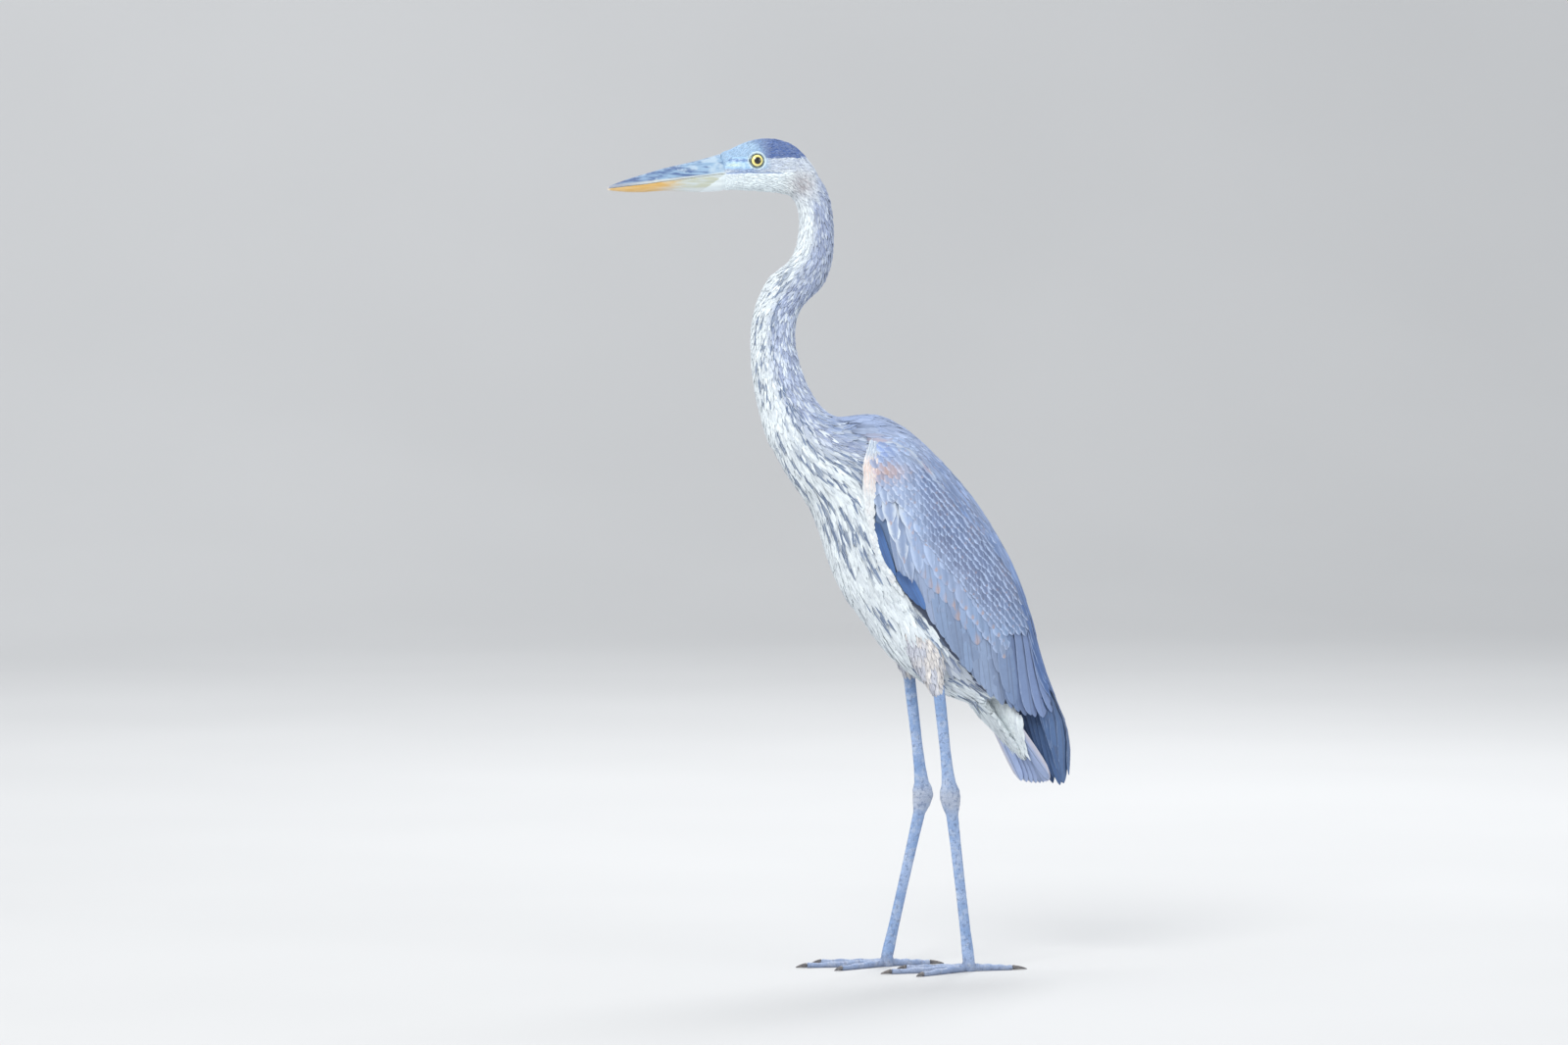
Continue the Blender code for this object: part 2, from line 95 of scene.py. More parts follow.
# --------------------------------------------------------------------------------------------------
# The studio is a pale painted floor that curves up into a wall, so that no corner shows behind the bird.
# Paint and every later finish are mixed with Shade, which keeps shader sums readable as plain arithmetic.


class Value:
    """A socket of a material. Sums on it add Math nodes."""

    def __init__(self, shade, socket):
        self.shade, self.socket = shade, socket

    def math(self, operation, *terms):
        """A Math node on the given terms only: this socket counts when it is one of them."""
        return self.shade.node("ShaderNodeMath", {"operation": operation}, dict(enumerate(terms)))

    def __abs__(self):
        return self.math("ABSOLUTE", self)

    def __pow__(self, other):
        return self.math("POWER", self, other)

    def step(self, low, high):
        """0 below low, 1 above high, eased between."""
        ends = {"Value": self, "From Min": low, "From Max": high}
        return self.shade.node("ShaderNodeMapRange", {"interpolation_type": "SMOOTHSTEP"}, ends)

    def parts(self):
        return [self.shade.node("ShaderNodeSeparateXYZ", {}, {0: self}, output) for output in range(3)]


for title, operation in {"add": "ADD", "sub": "SUBTRACT", "mul": "MULTIPLY", "truediv": "DIVIDE"}.items():
    setattr(Value, f"__{title}__", lambda self, other, kind=operation: self.math(kind, self, other))
    setattr(Value, f"__r{title}__", lambda self, other, kind=operation: self.math(kind, other, self))


class Shade:
    """A material being mixed: a Principled shader whose constants are given, and the nodes that feed it."""

    def __init__(self, name, **constants):
        self.material = bpy.data.materials.new(name)
        self.material.use_nodes = True
        self.tree = self.material.node_tree
        self.surface = self.tree.nodes["Principled BSDF"]
        self.finish(**constants)

    def feed(self, socket, value):
        if isinstance(value, Value):
            self.tree.links.new(value.socket, socket)
        elif socket.type == "RGBA":
            socket.default_value = (*value[:3], 1.0)
        else:
            socket.default_value = value

    def node(self, kind, settings, sockets, output=0):
        made = self.tree.nodes.new(kind)
        for name, value in settings.items():
            setattr(made, name, value)
        for key, value in sockets.items():
            self.feed(made.inputs[key], value)
        return Value(self, made.outputs[output])

    def place(self):
        return self.node("ShaderNodeTexCoord", {}, {}, "Object")

    def stretched(self, scale, turn=(0.0, 0.0, 0.0)):
        return self.node("ShaderNodeMapping", {}, {"Vector": self.place(), "Scale": scale, "Rotation": turn})

    def attribute(self, name, output="Fac"):
        return self.node("ShaderNodeAttribute", {"attribute_name": name}, {}, output)

    def noise(self, scale, detail=3.0, place=None, output="Fac"):
        sockets = {"Vector": place or self.place(), "Scale": scale, "Detail": detail}
        return self.node("ShaderNodeTexNoise", {}, sockets, output)

    def mix(self, share, first, second, blend="MIX"):
        settings = {"data_type": "RGBA", "blend_type": blend}
        return self.node("ShaderNodeMix", settings, {0: share, 6: first, 7: second}, 2)

    def bump(self, height, distance, strength=1.0):
        sockets = {"Height": height, "Distance": distance, "Strength": strength}
        self.feed(self.surface.inputs["Normal"], self.node("ShaderNodeBump", {}, sockets))

    def finish(self, **fed):
        """Feeds the shader's own inputs and gives the material."""
        for title, value in fed.items():
            self.feed(self.surface.inputs[title.replace("_", " ")], value)
        return self.material


def new_object(name, mesh, finish=None):
    made = bpy.data.objects.new(name, mesh)
    bpy.context.scene.collection.objects.link(made)
    if finish:
        mesh.materials.append(finish)
    return made


def smooth_mesh(shape, name):
    """A bmesh turned into a mesh that is shaded smooth."""
    for face in shape.faces:
        face.smooth = True
    mesh = bpy.data.meshes.new(name)
    shape.to_mesh(mesh)
    shape.free()
    return mesh


FLOOR_HALF = 8.0
FLOOR_HALF_WIDTH = 10.0
COVE_RADIUS = 2.6
COVE_STEPS = 14
WALL_HEIGHT = 5.0

sweep = bmesh.new()
edge_start = sweep.verts.new((-FLOOR_HALF_WIDTH, -FLOOR_HALF, 0.0))
edge_end = sweep.verts.new((FLOOR_HALF_WIDTH, -FLOOR_HALF, 0.0))
leading = sweep.edges.new((edge_start, edge_end))


def pull(edge, move):
    """Pulls an edge of the floor on by a move and gives its new far edge."""
    grown = bmesh.ops.extrude_edge_only(sweep, edges=[edge])["geom"]
    bmesh.ops.translate(sweep, verts=[v for v in grown if isinstance(v, bmesh.types.BMVert)], vec=move)
    return next(e for e in grown if isinstance(e, bmesh.types.BMEdge))


leading = pull(leading, (0.0, 2 * FLOOR_HALF - COVE_RADIUS, 0.0))
for step in range(COVE_STEPS):
    before, after = (math.radians(90.0) * (step + turn) / COVE_STEPS for turn in (0, 1))
    along = COVE_RADIUS * (math.sin(after) - math.sin(before))
    up = COVE_RADIUS * (math.cos(before) - math.cos(after))
    leading = pull(leading, (0.0, along, up))
pull(leading, (0.0, 0.0, WALL_HEIGHT))
bmesh.ops.recalc_face_normals(sweep, faces=sweep.faces)
if sum(face.normal.z for face in sweep.faces) < 0:
    bmesh.ops.reverse_faces(sweep, faces=sweep.faces)

paint = Shade("floor_paint", Roughness=0.8)
mottle = paint.noise(1.1, 2.0).step(0.3, 0.7)
paint.bump(paint.noise(320.0, 2.0), 0.0004, 0.15)
floor_paint = paint.finish(Base_Color=paint.mix(mottle, (0.60, 0.605, 0.61), (0.62, 0.625, 0.63)))
new_object("floor", smooth_mesh(sweep, "floor"), floor_paint)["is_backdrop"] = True

# Soft light comes from large panels: the key is high and ahead of the bird's left side, with a fill and a
# back light, and a fourth panel lights the wall. Each has its place, its aim, its size, power and colour.

WALL = Vector((0.0, 8.0, 1.2))
LIGHTS = {
    "key": ((-2.6, -3.4, 3.6), CAMERA_AIM, 2.4, 190.0, (1.0, 0.985, 0.96)),
    "fill": ((3.6, -3.6, 1.6), CAMERA_AIM, 2.6, 54.0, (0.92, 0.96, 1.0)),
    "back": ((1.8, 2.4, 3.4), CAMERA_AIM, 1.6, 75.0, (1.0, 1.0, 1.0)),
    "backdrop_light": ((0.0, 2.6, 6.2), WALL, 5.0, 150.0, (1.0, 1.0, 1.0)),
}
ROOM_COLOUR = (0.93, 0.96, 1.0, 1.0)
ROOM_STRENGTH = 0.66

for title, (where, aim, size, power, glow) in LIGHTS.items():
    panel = bpy.data.lights.new(title, "AREA")
    panel.shape = "SQUARE"
    panel.size = size
    panel.energy = power
    panel.color = glow
    lamp = bpy.data.objects.new(title, panel)
    lamp.location = where
    lamp.rotation_euler = (aim - Vector(where)).to_track_quat("-Z", "Y").to_euler()
    bpy.context.scene.collection.objects.link(lamp)
room = bpy.data.worlds.new("room")
room.use_nodes = True
room_light = room.node_tree.nodes["Background"]
room_light.inputs["Color"].default_value = ROOM_COLOUR
room_light.inputs["Strength"].default_value = ROOM_STRENGTH
bpy.context.scene.world = room

# --------------------------------------------------------------------------------------------------
# The lie of the coat: feathers run from the bill over the head, down the neck and along the trunk to the
# tail. Each row crosses the body from its throat or belly edge (x, z) to its nape or back edge (x, z), in
# millimetres.

MM = 0.001
SIDES = {"left": -1.0, "right": 1.0}
LIE_ROWS = np.array([
    (-137, 880, -141, 921),
    (-110, 880, -112, 935),
    (-83, 878, -61, 935),
    (-70, 877, -41, 920),
    (-55, 869, -17, 886),
    (-49, 846, -8, 853),
    (-54, 813, -8, 814),
    (-83, 785, -21, 771),
    (-102, 745, -50, 740),
    (-106, 692, -48, 690),
    (-96, 635, -25, 641),
    (-75, 578, 7, 626),
    (-37, 523, 79, 611),
    (-12, 453, 147, 540),
    (27, 391, 195, 465),
    (84, 331, 222, 395),
    (153, 299, 240, 334),
    (207, 286, 253, 298),
    (246, 220, 270, 226),
], float) * MM
ROWS_BETWEEN = 36
BATCH = 8192
TAIL_LIE = np.array((0.582, 0.0, -0.813))
THIGH_LIE = np.array((0.27, 0.0, -0.963))


def rows_between(rows, steps):
    """A smooth run of rows through all the given ones, with so many steps from each to the next."""
    padded = np.vstack([2 * rows[0] - rows[1], rows, 2 * rows[-1] - rows[-2]])
    f = (np.arange(steps) / steps)[:, None]
    runs = [
        0.5 * (2 * b + (c - a) * f + (2 * a - 5 * b + 4 * c - d) * f**2 + (3 * b - a - 3 * c + d) * f**3)
        for a, b, c, d in zip(padded, padded[1:], padded[2:], padded[3:])
    ]
    return np.vstack(runs + [rows[-1:]])


lie_rows = rows_between(LIE_ROWS, ROWS_BETWEEN)
lie_front, lie_back = lie_rows[:, :2], lie_rows[:, 2:]
lie_way = np.gradient(lie_rows, axis=0)
lie_middle = (lie_front + lie_back) / 2


def run_along(line):
    """How far along a line each of its points is."""
    return np.concatenate([[0.0], np.cumsum(np.linalg.norm(np.diff(line, axis=0), axis=1))])


lie_run = run_along(lie_middle)


def unit(vectors):
    return vectors / np.maximum(np.linalg.norm(vectors, axis=-1, keepdims=True), 1e-12)


def on_body(points):
    """For each point: how far along the body it is, how far from the front edge (0) to the back (1),
    the angle round the body from the back's ridge, and the way the feathers run there."""
    flat = points[:, [0, 2]]
    across = lie_back - lie_front
    width = np.linalg.norm(across, axis=1)
    across = across / width[:, None]
    nearest = np.empty(len(points), int)
    for start in range(0, len(points), BATCH):
        part = flat[start:start + BATCH]
        reach = part @ across.T - np.sum(lie_front * across, axis=1)
        off = part @ np.stack([-across[:, 1], across[:, 0]])
        off = off - (lie_front[:, 1] * across[:, 0] - lie_front[:, 0] * across[:, 1])
        beyond = np.maximum(-reach, reach - width)
        outside = np.maximum(beyond - 0.004, 0.0)
        nearest[start:start + BATCH] = np.argmin(np.abs(off) + 2.0 * outside, axis=1)
    share = np.sum((flat - lie_front[nearest]) * across[nearest], axis=1) / width[nearest]
    share = np.clip(share, 0.0, 1.0)
    way = lie_way[nearest, :2] * (1 - share[:, None]) + lie_way[nearest, 2:] * share[:, None]
    heading = unit(np.stack([way[:, 0], np.zeros(len(points)), way[:, 1]], axis=1))
    angle = np.arctan2(points[:, 1], (share - 0.5) * width[nearest])
    return lie_run[nearest], share, angle, heading


def ease(values, low, high):
    """0 at low, 1 at high, eased between, for arrays."""
    f = np.clip((values - low) / (high - low), 0.0, 1.0)
    return f * f * (3 - 2 * f)


# --------------------------------------------------------------------------------------------------
# The skin is one seamless hide over head, neck, trunk, undertail, wings and thighs. It is shrunk from the
# solids by the depth of the coat. It is finest on the head, where it carries the eyelids, the bare lores and
# the corner of the mouth.

FLESH = {
    "head": ["head"],
    "neck": ["neck_upper", "neck_middle", "neck_lower"],
    "trunk": ["trunk"],
    "undertail": ["undertail_coverts"],
    "wing": ["wing_left", "wing_right"],
    "thigh": ["thigh_left", "thigh_right"],
}
COAT_DEPTH = {
    "head": 0.0013, "neck": 0.0024, "trunk": 0.0038, "undertail": 0.003, "wing": 0.0034, "thigh": 0.003,
}
SEAM_CLOSING = 0.00045
SKIN_GRAIN = 0.0023
THIN_SHARE = 0.3
THICKEST = 0.03

graph = bpy.context.evaluated_depsgraph_get()
flesh_trees = {
    part: [BVHTree.FromObject(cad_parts[node], graph) for node in nodes]
    for part, nodes in FLESH.items()
}
flesh_nodes = [node for nodes in FLESH.values() for node in nodes]


def merged(nodes, grow=0.0):
    """The meshes of CAD nodes as one bmesh, welded, each face pushed out by grow."""
    shape = bmesh.new()
    for node in nodes:
        shape.from_mesh(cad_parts[node].data)
    bmesh.ops.remove_doubles(shape, verts=shape.verts, dist=0.00002)
    shape.normal_update()
    for vert in shape.verts:
        vert.co += vert.normal * grow
    return shape


def smooth(shape, verts):
    bmesh.ops.smooth_vert(
        shape, verts=verts, factor=0.5, use_axis_x=True, use_axis_y=True, use_axis_z=True,
    )


def remeshed(shape, grain, smoothing):
    """A bmesh turned into one even skin with quads of the given size, and smoothed."""
    mesh = bpy.data.meshes.new("blank")
    shape.to_mesh(mesh)
    shape.free()
    blank = new_object("blank", mesh)
    change = blank.modifiers.new("remesh", "REMESH")
    change.mode = "VOXEL"
    change.voxel_size = grain
    even = bmesh.new()
    even.from_object(blank, bpy.context.evaluated_depsgraph_get())
    bpy.data.objects.remove(blank)
    bpy.data.meshes.remove(mesh)
    for _ in range(smoothing):
        smooth(even, even.verts)
    return even


def coordinates(shape):
    return np.array([vert.co[:] for vert in shape.verts])


def directions(shape):
    return np.array([vert.normal[:] for vert in shape.verts])


def set_coordinates(shape, places):
    for vert, place in zip(shape.verts, places.tolist()):
        vert.co = place
    shape.normal_update()


head_low, head_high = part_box("head")
bill_low, bill_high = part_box("bill_upper")
eye_low, eye_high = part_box("eye_left")
EYE_RADIUS = (eye_high.z - eye_low.z) / 2
EYE_X, EYE_Z = (eye_high.x + eye_low.x) / 2, (eye_high.z + eye_low.z) / 2
EYE_Y = abs(eye_high.y + eye_low.y) / 2
LID_OPENING = 0.0072
FACE_SIDE = 0.012
EYE_FIELD = 0.0135

hide = remeshed(merged(flesh_nodes + ["eye_left", "eye_right"], SEAM_CLOSING), SKIN_GRAIN, 5)


def refine(shape, chosen):
    """Cuts the skin's quads in four where both ends of an edge are chosen."""
    edges = [edge for edge in shape.edges if all(chosen(vert.co) for vert in edge.verts)]
    bmesh.ops.subdivide_edges(shape, edges=edges, cuts=1, use_grid_fill=True)


def from_eye(place):
    return math.hypot(place[0] - EYE_X, place[2] - EYE_Z)


refine(hide, lambda place: place.x < head_high.x and place.z > head_low.z + 0.002)
refine(hide, lambda place: abs(place.y) > FACE_SIDE and from_eye(place) < EYE_FIELD)
for _ in range(2):
    smooth(hide, [vert for vert in hide.verts if vert.co.z > head_low.z])
bmesh.ops.triangulate(hide, faces=[face for face in hide.faces if len(face.verts) > 4])
hide.normal_update()

skin_places = coordinates(hide)
skin_normals = directions(hide)


def nearest_part(places):
    """The name of the flesh that each place belongs to, as an index into FLESH."""
    reach = np.array([
        [min(tree.find_nearest(place)[3] for tree in flesh_trees[part]) for place in places.tolist()]
        for part in FLESH
    ])
    return np.argmin(reach, axis=0)


PARTS = list(FLESH)
skin_part = nearest_part(skin_places)
skin_part_is = {name: skin_part == index for index, name in enumerate(PARTS)}
depth = np.array([COAT_DEPTH[part] for part in PARTS])[skin_part]
depth = depth * ease(skin_places[:, 0], bill_high.x + 0.001, bill_high.x + 0.012)
skin_edges = np.array([[vert.index for vert in edge.verts] for edge in hide.edges])


def blurred(values, rounds):
    """Values on the skin's points, each averaged with its neighbours so many times."""
    count = np.bincount(skin_edges.ravel(), minlength=len(values))
    for _ in range(rounds):
        total = np.bincount(skin_edges[:, 0], values[skin_edges[:, 1]], len(values))
        total += np.bincount(skin_edges[:, 1], values[skin_edges[:, 0]], len(values))
        values = (values + total / count) / 2
    return values


hide_tree = BVHTree.FromBMesh(hide)
through = np.array([
    hide_tree.ray_cast(Vector(place) - 0.0004 * Vector(normal), -Vector(normal), THICKEST)[3] or THICKEST
    for place, normal in zip(skin_places.tolist(), skin_normals.tolist())
])
depth = blurred(np.minimum(depth + SEAM_CLOSING, THIN_SHARE * through), 6)
skin_places = skin_places - skin_normals * depth[:, None]

# Eyelids: a rounded rim hugs each eyeball, and the skin inside the rim dips behind the ball.
LID_WIDTH = 0.0013
LID_HEIGHT = 0.0007
away = np.hypot(skin_places[:, 0] - EYE_X, skin_places[:, 2] - EYE_Z)
beside = np.abs(skin_places[:, 1]) > FACE_SIDE
on_cheek = beside & skin_part_is["head"]
ball_face = EYE_Y + np.sqrt(np.maximum(EYE_RADIUS**2 - np.minimum(away, EYE_RADIUS * 0.97) ** 2, 0.0))
rim = np.exp(-(((away - LID_OPENING - LID_WIDTH * 0.45) / (LID_WIDTH * 0.5)) ** 2))
lid_face = ball_face + 0.0002 + LID_HEIGHT * rim
behind_ball = ball_face - 0.0012
hug = ease(away, LID_OPENING + 2.2 * LID_WIDTH, LID_OPENING + 0.9 * LID_WIDTH)
face_y = np.abs(skin_places[:, 1])
face_y = np.where(beside, face_y * (1 - hug) + lid_face * hug, face_y)
inside = beside & (away < LID_OPENING)
face_y = np.where(inside, behind_ball, face_y)
skin_places[:, 1] = np.sign(skin_places[:, 1]) * face_y

# The mouth's corner runs back under the eye as a fine crease, and the lores are sunk in front of the eye.
GAPE_LINE = np.array([(-0.1380, 0.8995), (-0.1225, 0.9005), (-0.0960, 0.9008), (-0.0725, 0.9005)])
CREASE_DEPTH = 0.0010
LIP_SWELL = 0.0004
LORES_DEPTH = 0.0009
gape_z = np.interp(skin_places[:, 0], GAPE_LINE[:, 0], GAPE_LINE[:, 1])
gape_reach = ease(skin_places[:, 0], GAPE_LINE[-1, 0] + 0.002, GAPE_LINE[-1, 0] - 0.004)
crease = np.exp(-(((skin_places[:, 2] - gape_z) / 0.0011) ** 2)) * gape_reach * on_cheek
swell = np.exp(-(((skin_places[:, 2] - gape_z + 0.0026) / 0.0016) ** 2)) * gape_reach * on_cheek
lores_middle = 0.9105 - 0.03 * (skin_places[:, 0] - EYE_X)
lores_mask = (
    ease(skin_places[:, 0], EYE_X - 0.0045, EYE_X - 0.0095)
    * ease(np.abs(skin_places[:, 2] - lores_middle), 0.0085, 0.0045)
    * on_cheek
)
pressed_in = CREASE_DEPTH * crease - LIP_SWELL * swell + LORES_DEPTH * lores_mask
skin_places[:, 1] -= np.sign(skin_places[:, 1]) * pressed_in
set_coordinates(hide, skin_places)
skin_tree = BVHTree.FromBMesh(hide)
skin_mesh = smooth_mesh(hide, "skin")

# The markings of the plumage are the same on the skin and on every small feather. Colours are linear red,
# green and blue, and heights and lengths in body_colours are millimetres.
WHITE = np.array((0.84, 0.91, 0.94))
STREAK = np.array((0.13, 0.19, 0.32))
NECK_SIDE = np.array((0.42, 0.49, 0.66))
NECK_PALE = np.array((0.56, 0.65, 0.85))
NECK_DARK = np.array((0.22, 0.27, 0.43))
CROWN = np.array((0.078, 0.15, 0.39))
FOREHEAD = np.array((0.40, 0.59, 0.80))
CHEEK = np.array((0.89, 0.98, 1.0))
LORES = np.array((0.29, 0.49, 0.70))
LORE_BLUE = np.array((0.17, 0.30, 0.58))
LORE_GREEN = np.array((0.66, 0.78, 0.62))
BUFF = np.array((0.45, 0.41, 0.42))
MANTLE = np.array((0.25, 0.33, 0.52))
WING = np.array((0.20, 0.31, 0.52))
# Painted shade: the wing's skin is painted dark so that the gaps between the wing feathers look shaded.
WING_GAP_SHADE = np.array((0.075, 0.095, 0.15))
THIGH = np.array((0.78, 0.74, 0.71))
UNDERTAIL = np.array((0.78, 0.86, 0.86))
LID = np.array((0.10, 0.13, 0.12))
LID_RING = np.array((0.74, 0.88, 0.92))
STREAK_LINES = 42


def grain(u, v, seed):
    """Smooth random values from 0 to 1 over a plane whose cells are one unit wide."""
    def corner(i, j):
        mixed = np.sin(i * 127.1 + j * 311.7 + seed * 74.7) * 43758.5453
        return mixed - np.floor(mixed)

    i, j = np.floor(u), np.floor(v)
    f, g = u - i, v - j
    f, g = f * f * (3 - 2 * f), g * g * (3 - 2 * g)
    low = corner(i, j) * (1 - f) + corner(i + 1, j) * f
    high = corner(i, j + 1) * (1 - f) + corner(i + 1, j + 1) * f
    return low * (1 - g) + high * g


def dashes(lines, run, seed):
    """Dark dashes along separate lines: how dark each place is, 0 to 1, and how far it is from its line."""
    line = np.floor(lines)
    own = np.modf(np.sin(line * 12.9898 + seed * 7.23) * 43758.5453)[0]
    return grain(line * 5.0 + 0.01, run + 31.0 * own, seed), np.abs(lines - line - 0.5)


def tint(colours, other, share):
    """One colour or many, each moved so far (0 to 1) toward the other."""
    return colours + (other - colours) * np.reshape(share, (-1, 1))


def body_colours(places, run, angle):
    """Head, neck, breast, belly and back."""
    x, z = places[:, 0] / MM, places[:, 2] / MM
    front = math.pi - np.abs(angle)
    side = angle > 0
    lines = STREAK_LINES * angle / (2 * math.pi) + 0.35 * grain(run / 0.05, np.zeros(len(run)), 4 + side)
    dash, off_line = dashes(lines, run / np.interp(z, (560, 700), (0.030, 0.016)), 3 + side)
    on_line = ease(off_line, 0.36, 0.22)
    fine = grain(lines * 3.1, run / 0.0035, 9 + side)
    colours = tint(NECK_SIDE, NECK_PALE, 0.6 * ease(z, 620, 680))
    colours = tint(colours, NECK_DARK, 0.75 * ease(fine, 0.45, 0.8))
    colours = tint(colours, WHITE, 0.75 * ease(fine, 0.5, 0.15))
    colours = tint(colours, NECK_DARK, 0.4 * ease(z, 735, 780))
    white_from = np.interp(z, (600, 680), (1.75, 1.40))
    white_to = np.interp(z, (600, 680), (1.05, 0.75))
    colours = tint(colours, WHITE, ease(front, white_from, white_to))
    breast = ease(-z, -620, -560)
    dark_lines = ease(dash, 0.50, 0.60) * ease(front, 0.16, 0.30) * ease(-z, -830, -760) * (1 - breast)
    dark_lines = dark_lines + breast * ease(dash, 0.36, 0.46) * ease(front, 0.04, 0.16)
    dark_from = np.interp(z, (600, 680), (2.4, 1.7))
    dark_to = np.interp(z, (600, 680), (1.7, 1.2))
    dark_lines = dark_lines * ease(front, dark_from, dark_to)
    colours = tint(colours, STREAK, 0.9 * on_line * dark_lines)
    flank = ease(x, 108, 122) * ease(-x, -176, -160) * ease(-z, -372, -352) * ease(front, 0.5, 0.9)
    colours = tint(colours, NECK_DARK, flank * (0.35 + 0.6 * ease(fine, 0.35, 0.6)))
    colours = tint(colours, UNDERTAIL, ease(x, 158, 176) * ease(-z, -345, -320))
    back = ease(front, 1.75, 2.2) * ease(-z, -650, -615)
    flecked = tint(MANTLE, WHITE, 0.45 * ease(fine, 0.55, 0.9) * ease(z, 560, 600))
    colours = tint(colours, flecked, back)
    # The head: slate crown with a sharp lower edge, pale forehead, white cheek and chin, buff ear.
    head = ease(z, 858, 876) * ease(-x, 22, 40)
    face = tint(WHITE, NECK_SIDE, 0.10 + 0.3 * ease(fine, 0.35, 0.8) + 0.25 * ease(z, 900, 906))
    face = tint(face, CHEEK, ease(-z, -903.5, -899.5) * ease(-x, 52, 64))
    ear = np.exp(-(((x + 51) / 17) ** 2 + ((z - 888) / 14) ** 2))
    face = tint(face, BUFF, 0.9 * ear * (0.6 + 0.4 * ease(fine, 0.2, 0.7)))
    under_eye = np.exp(-(((x - 1000 * EYE_X + 12) / 20) ** 2 + ((z - 903.5) / 2.8) ** 2))
    face = tint(face, LORE_BLUE, 0.8 * under_eye)
    forehead = ease(-x, 84, 98) * ease(z, 903, 907)
    face = tint(face, FOREHEAD, forehead)
    face = tint(face, CROWN, 0.45 * forehead * ease(z + 0.55 * (x + 96), 926, 931))
    crown_edge = 916.6 + 0.02 * (x + 90) + 1.2 * (grain(x / 3, z / 3, 5) - 0.5)
    crown = ease(z, crown_edge - 0.8, crown_edge + 0.8) * ease(x, -108, -84) * ease(-x, 40.5, 43.5)
    face = tint(face, CROWN, crown)
    return tint(colours, face, head)


# The wing's front and lower edge (x, z), from the shoulder down to the tip of the longest tertial.
WING_EDGE = np.array([
    (22, 600), (15.5, 586), (11, 572), (9.6, 560), (11.4, 536), (15.8, 512), (21.1, 493), (26.2, 475),
    (32.7, 459), (41, 447), (50, 436), (60, 423.7), (70.8, 412.9), (84, 399), (97, 383), (114, 362),
    (132, 342), (150, 323), (166, 309), (184, 300), (208, 291), (232, 287),
], float) * MM


def behind_edge(places):
    """How far each place lies behind the wing's front and lower edge."""
    return places[:, 0] - np.interp(places[:, 2], WING_EDGE[::-1, 1], WING_EDGE[::-1, 0])


def coat_colours(places, part, run, angle):
    """The main colour of the coat at each place, by the part of the body it grows on."""
    colours = body_colours(places, run, angle)
    fine = grain(places[:, 0] / 0.006, places[:, 2] / 0.011, 21)
    # Below the shoulder the wing's skin is painted dark, as painted shade in the gaps between its feathers;
    # higher up it is the wing's blue-grey.
    wing_skin_shade = tint(WING_GAP_SHADE, WING, 0.9 * ease(places[:, 2], 0.44, 0.48))
    shaded = {
        "undertail": tint(UNDERTAIL, WHITE, fine),
        "wing": tint(wing_skin_shade, colours, ease(-behind_edge(places), -0.003, 0.0)),
        "thigh": tint(THIGH, NECK_SIDE, 0.55 * ease(fine, 0.45, 0.9)),
    }
    for name, colour in shaded.items():
        colours = np.where((part == PARTS.index(name))[:, None], colour, colours)
    return colours


def give(mesh, name, kind, values):
    """Stores values on a mesh's points under a name that its material reads."""
    if kind == "FLOAT_COLOR":
        values = np.column_stack([values, np.ones(len(values))])
    field = {"FLOAT": "value", "FLOAT_VECTOR": "vector", "FLOAT_COLOR": "color"}[kind]
    mesh.attributes.new(name, kind, "POINT").data.foreach_set(field, np.asarray(values, np.float32).ravel())


def fit(name, mesh, finish, replaced=()):
    """A piece of the bird on its one body. It may take the place of some of the solids."""
    piece = new_object(name, mesh, finish)
    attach(piece, "root")
    if replaced:
        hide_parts(*replaced)
    return piece


skin_run, _, skin_angle, _ = on_body(skin_places)
skin_colours = coat_colours(skin_places, skin_part, skin_run, skin_angle)
lore_line = np.abs(skin_places[:, 2] - (0.9140 - 0.02 * (skin_places[:, 0] - EYE_X)))
bare = lores_mask * (1 - ease(away, 0.0085, 0.0075))
skin_colours = tint(skin_colours, LORES, bare)
skin_colours = tint(skin_colours, CROWN, 0.85 * bare * ease(-lore_line, -0.0021, -0.0006))
low_lore = ease(-skin_places[:, 2], -0.9065, -0.9045)
skin_colours = tint(skin_colours, LORE_BLUE, 0.7 * bare * low_lore)
patch_along = (skin_places[:, 0] - EYE_X + 0.025) / 0.009
patch_up = (skin_places[:, 2] - 0.9091) / 0.0018
lore_patch = np.exp(-(patch_along**2 + patch_up**2))
skin_colours = tint(skin_colours, LORE_GREEN, 0.9 * bare * lore_patch)
skin_colours = tint(skin_colours, CROWN, 0.9 * crease)
lid_mask = on_cheek * ease(away, LID_OPENING + 1.3 * LID_WIDTH, LID_OPENING + 0.8 * LID_WIDTH)
pale_ring = on_cheek * ease(away, LID_OPENING + 2.8 * LID_WIDTH, LID_OPENING + 2.1 * LID_WIDTH)
skin_colours = tint(skin_colours, LID_RING, 0.8 * pale_ring)
skin_colours = tint(skin_colours, LID, lid_mask)
give(skin_mesh, "pigment", "FLOAT_COLOR", skin_colours)
shown_skin = np.maximum.reduce([bare, lid_mask, 0.3 * pale_ring, 0.7 * crease])
give(skin_mesh, "bare", "FLOAT", shown_skin)

